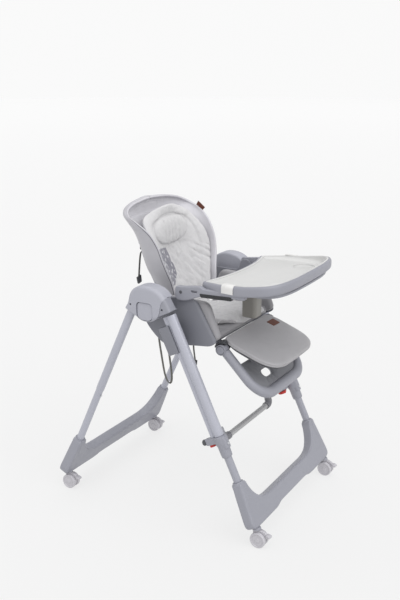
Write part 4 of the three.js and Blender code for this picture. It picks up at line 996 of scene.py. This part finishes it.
gloss_white, gloss_tree, gloss_shader = new_material(
    "white gloss", (0.56, 0.56, 0.555), 0.26, Coat_Weight=0.15, Coat_Roughness=0.1)
vary_roughness(gloss_tree, gloss_shader, 0.3, 0.34, object_noise(gloss_tree, 25, 3))
edge_roll = [(inset, rim_height - 11 + height * 11 / 7.5) for inset,
             height in quarter(7.5, 0, 7.5, 0, 180, 15)]
base_ring = rings(tray_plan, [
    (9, skirt_height), (6, skirt_height + 0.6), *[(inset, skirt_height + 9 + height * 1.6) for inset,
                                                  height in quarter(5.5, 0, 5.5, -60, 0, 6)],
    (0, (skirt_height + rim_height) / 2), *edge_roll, (15.2, rim_height - 12), (16, 804)], caps=False)
floor_plate = slab(evenly(tray_plan * [0.92, 0.9] + [0, -28], 200), 799, 806, 0.5)
make_piece(
    "tray_base_moulding", "tray", grey_plastic, "plastic", [base_ring, floor_plate], ["tray_base"])
well = ramp(-tray_plan[:, 1], 150, 260)
top_profile = [
    (30, 806.5 + 0 * rim_height), (15, rim_height - 8),
    *[(9.6 + inset, rim_height + height) for inset, height in quarter(4, -2.4, 4, 20, 180, 11)],
    (19.5, 818 + 0.45 * (rim_height - 818)), (23 + 3 * well, 818 + 0.16 * (rim_height - 818)),
    (28 + 6 * well, 816 + 0 * well),
    (34 + 8 * well, 815.2 + 0 * well)]
tray_top = make_piece(
    "tray_top_moulding", "tray_top", gloss_white, "white_plastic", [rings(tray_plan, top_profile)],
    ["tray_top"])
CUP = (150, -318, 0)
carve(tray_top, [lathe([(0.1, 809.4), (33, 809.4), (37, 811), (38.6, 815.6), (38.6, 840), (0.1, 840)], "z",
                       CUP, 64)], ease=1.5)
CLIP_Y = -234.0
clip_spot = np.argmin(np.where(tray_plan[:, 0] > 0, np.abs(tray_plan[:, 1] - CLIP_Y), 999))
clip_x, clip_rim = tray_plan[clip_spot, 0], rim_height[clip_spot]
clip_turn = np.arctan2(246 - 234, 330 - 200)
clip_shape = rounded(
    [(0.4, -25), (3.4, -25, 1), (3.8, -4, 5), (-3, 3.4, 6), (-17, 3.6, 1.4), (-17, 0.6), (-6, 0.4, 5),
     (0.4, -7, 5)], 110)
clip_form = slab(clip_shape + [0, clip_rim], -21, 21, 0.9, "y", steps=3)
turned = clip_form[0] @ np.array([[np.cos(clip_turn), np.sin(clip_turn), 0],
                                  [-np.sin(clip_turn), np.cos(clip_turn), 0], [0, 0, 1]])
clip_white = moulded("white plastic", (0.66, 0.655, 0.645), 0.32)
make_pair(
    "tray_clip_{}_hook", "tray_clip_{}", clip_white, "white_plastic",
    [(turned + [clip_x, CLIP_Y, 0], *clip_form[1:])], ["tray_clip_{}"])
beige_plastic = moulded("beige plastic", (0.26, 0.25, 0.228), 0.45)
post_outline = rounded([(-26, -226, 14), (26, -226, 14), (26, -172, 14), (-26, -172, 14)], 120)
make_piece(
    "crotch_post_moulding", "tray", beige_plastic, "beige_plastic", [slab(post_outline, 662, 803.7, (6, 2))],
    ["crotch_post"])

# ---- Calf rest -------------------------------------------------------------------------------------
# A padded leathercloth panel on a dark board, hinged to the front of the seat.
def sloped(origin_y, origin_z, slope):
    """Turns points (x, towards the seat, out of the panel) into drawing points on a sloping panel."""
    angle = np.radians(slope)

    def place(points):
        """The points turned by the tilt about x and moved to the hinge."""
        x, v, w = np.moveaxis(np.asarray(points, float), -1, 0)
        return np.stack([x, origin_y + v * np.cos(angle) - w * np.sin(angle),
                         origin_z + v * np.sin(angle) + w * np.cos(angle)], -1)

    return place


calf = sloped(-150, 640, 20)
calf_outline = relaxed(rounded(
    [(150, -30, 18), (166, -70, 24), (162, -236, 92), (0, -240, 60), (-162, -236, 92), (-166, -70, 24),
     (-150, -30, 18)],
    300, 14), 3)
calf_normal = outward(calf_outline)
pad_rows = []
for inset, height in [(7, -12.8), (2, -12.6), (0, -10.8), (-0.4, -8.6), (0.6, -7.0), (1.6, -6.6),
                      (1.2, -5.6), (0.6, -4.2),
                      (1.4, -2.0), (4, -0.2), (8, 1.0), (13, 1.6)]:
    pad_rows.append(np.column_stack([calf_outline - calf_normal * inset, np.full(len(calf_outline), height)]))
rim = pad_rows[-1]
pad_centre = np.array([0, -138, 0])
for s in np.linspace(1, 0.03, 40)[1:]:
    row = np.column_stack([pad_centre[:2] + (rim[:, :2] - pad_centre[:2]) * s,
                           rim[:, 2] + 3.2 * (1 - s**2.4)])
    soft = value_noise(np.column_stack([row[:, 0] * 0.5, row[:, 1], 0 * row[:, 0]]), 0.03, 31)
    row[:, 2] += 0.9 * soft * (1 - s**6)
    pad_rows.append(row)
calf_leather = leathercloth("calf leathercloth", (0.35, 0.345, 0.358))
calf_pad = make_piece(
    "calf_pad_cover", "calf_rest", calf_leather, "leather",
    [placed(grid_form(np.array(pad_rows), caps=True), calf)],
    ["calf_pad"], sharp=70)
from_frame("calf_board", "calf_rest", dark_plastic)
tag_leather, tag_tree, tag_shader = new_material("brown leather", (0.115, 0.032, 0.016), 0.55)
vary_colour(tag_tree, tag_shader, (0.115, 0.032, 0.016), 0.2, object_noise(tag_tree, 120, 4))
add_bump(tag_tree, tag_shader, object_noise(tag_tree, 500, 4), 0.0002, 0.6)

# ---- Footrest --------------------------------------------------------------------------------------
# A thick tube bent into a wide U on the calf rest's hinge pin, and a dark plate across it with two
# grip holes.
step = sloped(-181, 594, 45)
LOOP_HALF, LOOP_REACH, LOOP_BEND = 164.0, 201.0, 76.0
turn = np.radians(np.linspace(0, 90, 20))
bend_arc = np.stack([LOOP_HALF - LOOP_BEND + LOOP_BEND * np.cos(turn),
                     -LOOP_REACH + LOOP_BEND - LOOP_BEND * np.sin(turn), 0 * turn], -1)
half_loop = np.vstack([[(LOOP_HALF, -14, 0), (LOOP_HALF, -40, 0), (LOOP_HALF, -80, 0)], bend_arc])
loop_path = np.vstack([half_loop, [(0, -LOOP_REACH, 0)], (half_loop * [-1, 1, 1])[::-1]])
loop_path = smooth_path(loop_path, 150)
front_share = ramp(-loop_path[:, 1], 150, LOOP_REACH)[:, None, None]
tube_section = circle(0, 0, 15.5, 40) * (1 + front_share * [0.1, 0.2])
loop_form = sweep(loop_path, tube_section, (0, 0, 1))
hinge_disc = lathe([(0.1, 153), (16.5, 153), (18, 154.5), (18, 181.4), (16.8, 182.6), (14.8, 182.6),
                    (14.4, 180.4),
                    (13.2, 180.4), (12.8, 184), (11.6, 185), (0.1, 185)], "x")
loop_forms = [loop_form, hinge_disc, *mirrored([hinge_disc])]
make_piece(
    "footrest_loop_tube", "footrest", grey_plastic, "plastic", [placed(form, step) for form in loop_forms],
    ["footrest_loop"])
plate_plastic = moulded("slate plastic", (0.26, 0.263, 0.288), 0.45)
plate_corners = [(150, -72, 6), (150, -120, 40), (148, -188, 64), (0, -189, 60), (-148, -188, 64),
                 (-150, -120, 40), (-150, -72, 6)]
plate_form = slab(relaxed(rounded(plate_corners, 240, 14), 2), -2.6, 2.6, 1.2, steps=3)
dish = plate_form[0].copy()
dish[:, 2] -= 19 * np.clip(1 - (dish[:, 0] / 150) ** 2, 0, 1) * ramp(-dish[:, 1], 20,
    90) * ramp(dish[:, 1], -192, -160)
foot_plate = make_piece(
    "foot_plate_panel", "footrest", plate_plastic, "dark_plastic", [placed((dish, *plate_form[1:]), step)],
    ["foot_plate"])
for x in (-42, 42):
    carve(foot_plate, [placed(slab(capsule((x - 14, -139), (x + 14, -139), 14), -40, 30, 0.01, steps=2),
                              step)], ease=1.0)

# ---- Footrest ratchet --------------------------------------------------------------------------------
# A dark toothed quadrant stands behind each hinge disc, fixed to the calf rest.
arc = np.radians(np.linspace(8, 128, 60))
tooth = 1.8 * (np.abs(np.sin(arc * 11)) > 0.5)
ratchet_outline = np.vstack([np.stack([(25 + tooth) * np.cos(arc), (25 + tooth) * np.sin(arc)], -1),
                             19.4 * np.stack([np.cos(arc), np.sin(arc)], -1)[::-1]])
ratchet = slab(evenly(ratchet_outline, 200), 148, 174, 0.3, "x", steps=2)
ratchet_forms = [(ratchet[0] + [0, -181, 594], *ratchet[1:])]
make_pair("footrest_ratchet_{}", "calf_rest", dark_plastic, "dark_plastic", ratchet_forms)

# ---- Straps ----------------------------------------------------------------------------------------
# Dark woven webbing that is left free: a long strap with a plastic buckle hangs from behind the back,
# a loop hangs under the seat and goes back up into it, and a short strap with a buckle hangs in front.
def webbing_cloth():
    """Polyester webbing: ribs across it in its own UV, and a slight sheen."""
    material, tree, shader = new_material(
        "webbing", (0.115, 0.112, 0.1), 0.8, Sheen_Weight=0.25, Sheen_Roughness=0.5, Specular_IOR_Level=0.3)
    vary_colour(tree, shader, (0.115, 0.112, 0.1), 0.12, object_noise(tree, 400, 3))
    coordinates = add_node(tree, "TexCoord")
    ribs = add_node(tree, "TexWave", Scale=1.0, Distortion=0.6)
    ribs.bands_direction = "Y"
    tree.links.new(coordinates.outputs["UV"], ribs.inputs["Vector"])
    add_bump(tree, shader, ribs.outputs["Color"], 0.0004, 0.7)
    add_bump(tree, shader, object_noise(tree, 1500, 2), 0.0002, 0.5)
    return material


webbing = webbing_cloth()


def strap(name, body, node, width, route):
    """A flat strap 1.6 mm thick along a route."""
    path = smooth_path(route, 12 * len(route))
    length = np.linalg.norm(np.diff(path, axis=0), axis=1).sum()
    section = rounded([(-width / 2, -0.8, 0.6), (width / 2, -0.8, 0.6), (width / 2, 0.8, 0.6),
                       (-width / 2, 0.8, 0.6)], 32)
    side = {"loop_strap": (0.35, 1, 0), "back_strap": (1, 0.25, 0), "seat_strap": (0.6, 1, 0)}[node]
    piece = make_piece(name, body, webbing, "webbing", [sweep(path, section, side)], [node])
    uv = piece.data.uv_layers.new(name="weave")
    points = np.empty(len(piece.data.vertices) * 3)
    piece.data.vertices.foreach_get("co", points)
    corners = np.empty(len(piece.data.loops), int)
    piece.data.loops.foreach_get("vertex_index", corners)
    points = points.reshape(-1, 3)
    where = np.linalg.norm(points[:, None] * 1000 - [0, DRAWING_SHIFT, 0] - path[None], axis=-1).argmin(1)
    along = np.linspace(0, length, len(path))[where]
    uv.data.foreach_set("uv", np.stack([points[:, 0] * 1000 / width, along], -1)[corners].ravel() * 0.5)
    route = (path + [0, DRAWING_SHIFT, 0]) / 1000
    tuple(route[0])
    [tuple(point) for point in route]
    return piece


def buckle(name, body, at, width, length, turn):
    """A flat side-release buckle: a bevelled body, narrower at its foot, with the strap's slot at its top."""
    outline = rounded([(-width / 2, 0, 3), (width / 2, 0, 3), (width / 2 - 2, -length, 4),
                       (-width / 2 + 2, -length, 4)], 80)
    angle = np.radians(turn)
    tilt = np.array([[np.cos(angle), 0, np.sin(angle)], [0, 1, 0], [-np.sin(angle), 0, np.cos(angle)]])
    form = slab(outline, -2.6, 2.6, 1.4, "y")
    points = form[0] @ tilt
    piece = make_piece(name, body, dark_plastic, "dark_plastic", [(points + at, *form[1:])])
    slot = slab(capsule((-width / 2 + 5, -4), (width / 2 - 5, -4), 1.4, 40), -8, 8, 0.01, "y", steps=2)
    carve(piece, [(slot[0] @ tilt + at, *slot[1:])], ease=0.4)
    return piece


back_buckle = buckle("back_strap_buckle", "back", (-110, 178.6, 776), 25, 26, 12)
seat_buckle = buckle("seat_strap_buckle", "seat", (-190, -93.6, 547), 19, 24, -8)
strap("back_strap_webbing", "back", "back_strap", 15,
      [(-110, 157.7, 866), (-110, 163, 865), (-110, 168, 859), (-110, 171, 845), (-110, 174, 820),
       (-110, 178, 772)])
strap("loop_strap_webbing", "seat", "loop_strap", 10,
      [(-160, 70, 644.7), (-160, 69, 620), (-160, 66, 580), (-160, 58, 530), (-160, 47, 470), (-160, 37, 442),
       (-160, 27, 434), (-160, 19, 442), (-160, 18, 470), (-160, 26, 530), (-160, 34, 580),
       (-160, 37, 616.2)])
strap("seat_strap_webbing", "seat", "seat_strap", 10,
      [(-190, -86, 602), (-190, -87, 585), (-190, -90, 562), (-190, -93, 542)])

# ---- Tags ------------------------------------------------------------------------------------------
# Two small tags of brown leather, both bare: one is sewn flat to the calf rest, the other to the rim
# of the back.
calf_tag = slab(rounded([(84, -67, 2), (134, -67, 2), (134, -96, 2), (84, -96, 2)], 80), -1.2, 1.1, 0.6)
calf_tag = (calf_tag[0] + np.outer(3.7 + (109 - calf_tag[0][:, 0]) * 0.034, [0, 0, 1]), *calf_tag[1:])
make_piece("calf_tag", "calf_rest", tag_leather, "leather", [placed(calf_tag, calf)])
rim_tag = slab(rounded([(128, 982), (101, 964), (92, 974, 2), (120, 996, 2)], 70), 189.5, 191.7, 0.6, "x")
make_piece("rim_tag", "back", tag_leather, "leather", [rim_tag])

# ---- Floor, light and camera -----------------------------------------------------------------------
# A pale floor that glows a little, so that it stays white right up to a glowing wall far behind; soft
# light comes from the side, from the front and from above.
def glowing(name, colour, glow):
    """A matt material that also gives off light of its own."""
    material = new_material(name, (colour,) * 3, 0.9, Emission_Color=(1, 1, 1, 1), Emission_Strength=glow)[0]
    material.cycles.emission_sampling = "NONE"
    return material


def stage_piece(name, points, faces, material):
    """A plain mesh of the studio, in metres."""
    mesh = bpy.data.meshes.new(name)
    mesh.from_pydata(points, [], faces)
    mesh.materials.append(material)
    piece = bpy.data.objects.new(name, mesh)
    bpy.context.scene.collection.objects.link(piece)


stage_piece("floor", [(-30, -30, -0.001), (30, -30, -0.001), (30, 30, -0.001), (-30, 30, -0.001)],
            [(0, 1, 2, 3)],
            glowing("floor", 0.12, 0.73))
wall_turn = np.linspace(0, 2 * np.pi, 65)[:-1]
wall = [(28 * np.cos(a), 28 * np.sin(a), z) for z in (-0.5, 9.0) for a in wall_turn]
stage_piece("wall", wall, [(k, (k + 1) % 64, (k + 1) % 64 + 64, k + 64) for k in range(64)],
            glowing("wall", 0.02, 0.91))

world = bpy.data.worlds.new("studio")
bpy.context.scene.world = world
world.use_nodes = True
world.node_tree.nodes["Background"].inputs["Color"].default_value = (1, 1, 1, 1)
world.node_tree.nodes["Background"].inputs["Strength"].default_value = 0.42


def sun(name, toward, strength, spread):
    """A soft sun that shines from a direction."""
    light = bpy.data.lights.new(name, "SUN")
    light.energy, light.angle = strength, np.radians(spread)
    lamp = bpy.data.objects.new(name, light)
    lamp.rotation_euler = Vector(toward).to_track_quat("Z", "Y").to_euler()
    bpy.context.scene.collection.objects.link(lamp)


sun("side light", (-1.0, -0.2, 1.0), 1.0, 60)
sun("front light", (-0.1, -1.0, 0.9), 1.1, 50)
sun("top light", (0.1, 0.2, 1.0), 1.2, 80)

camera_data = bpy.data.cameras.new("camera")
camera_data.sensor_fit, camera_data.sensor_height, camera_data.lens = "VERTICAL", 36, 50.2
camera = bpy.data.objects.new("camera", camera_data)
camera.location = (-2.386, -1.397, 1.503)
camera.rotation_euler = np.radians([90 - 16.4, 0, -59.6])
bpy.context.scene.collection.objects.link(camera)
bpy.context.scene.camera = camera
bpy.context.scene.view_settings.view_transform = "Standard"
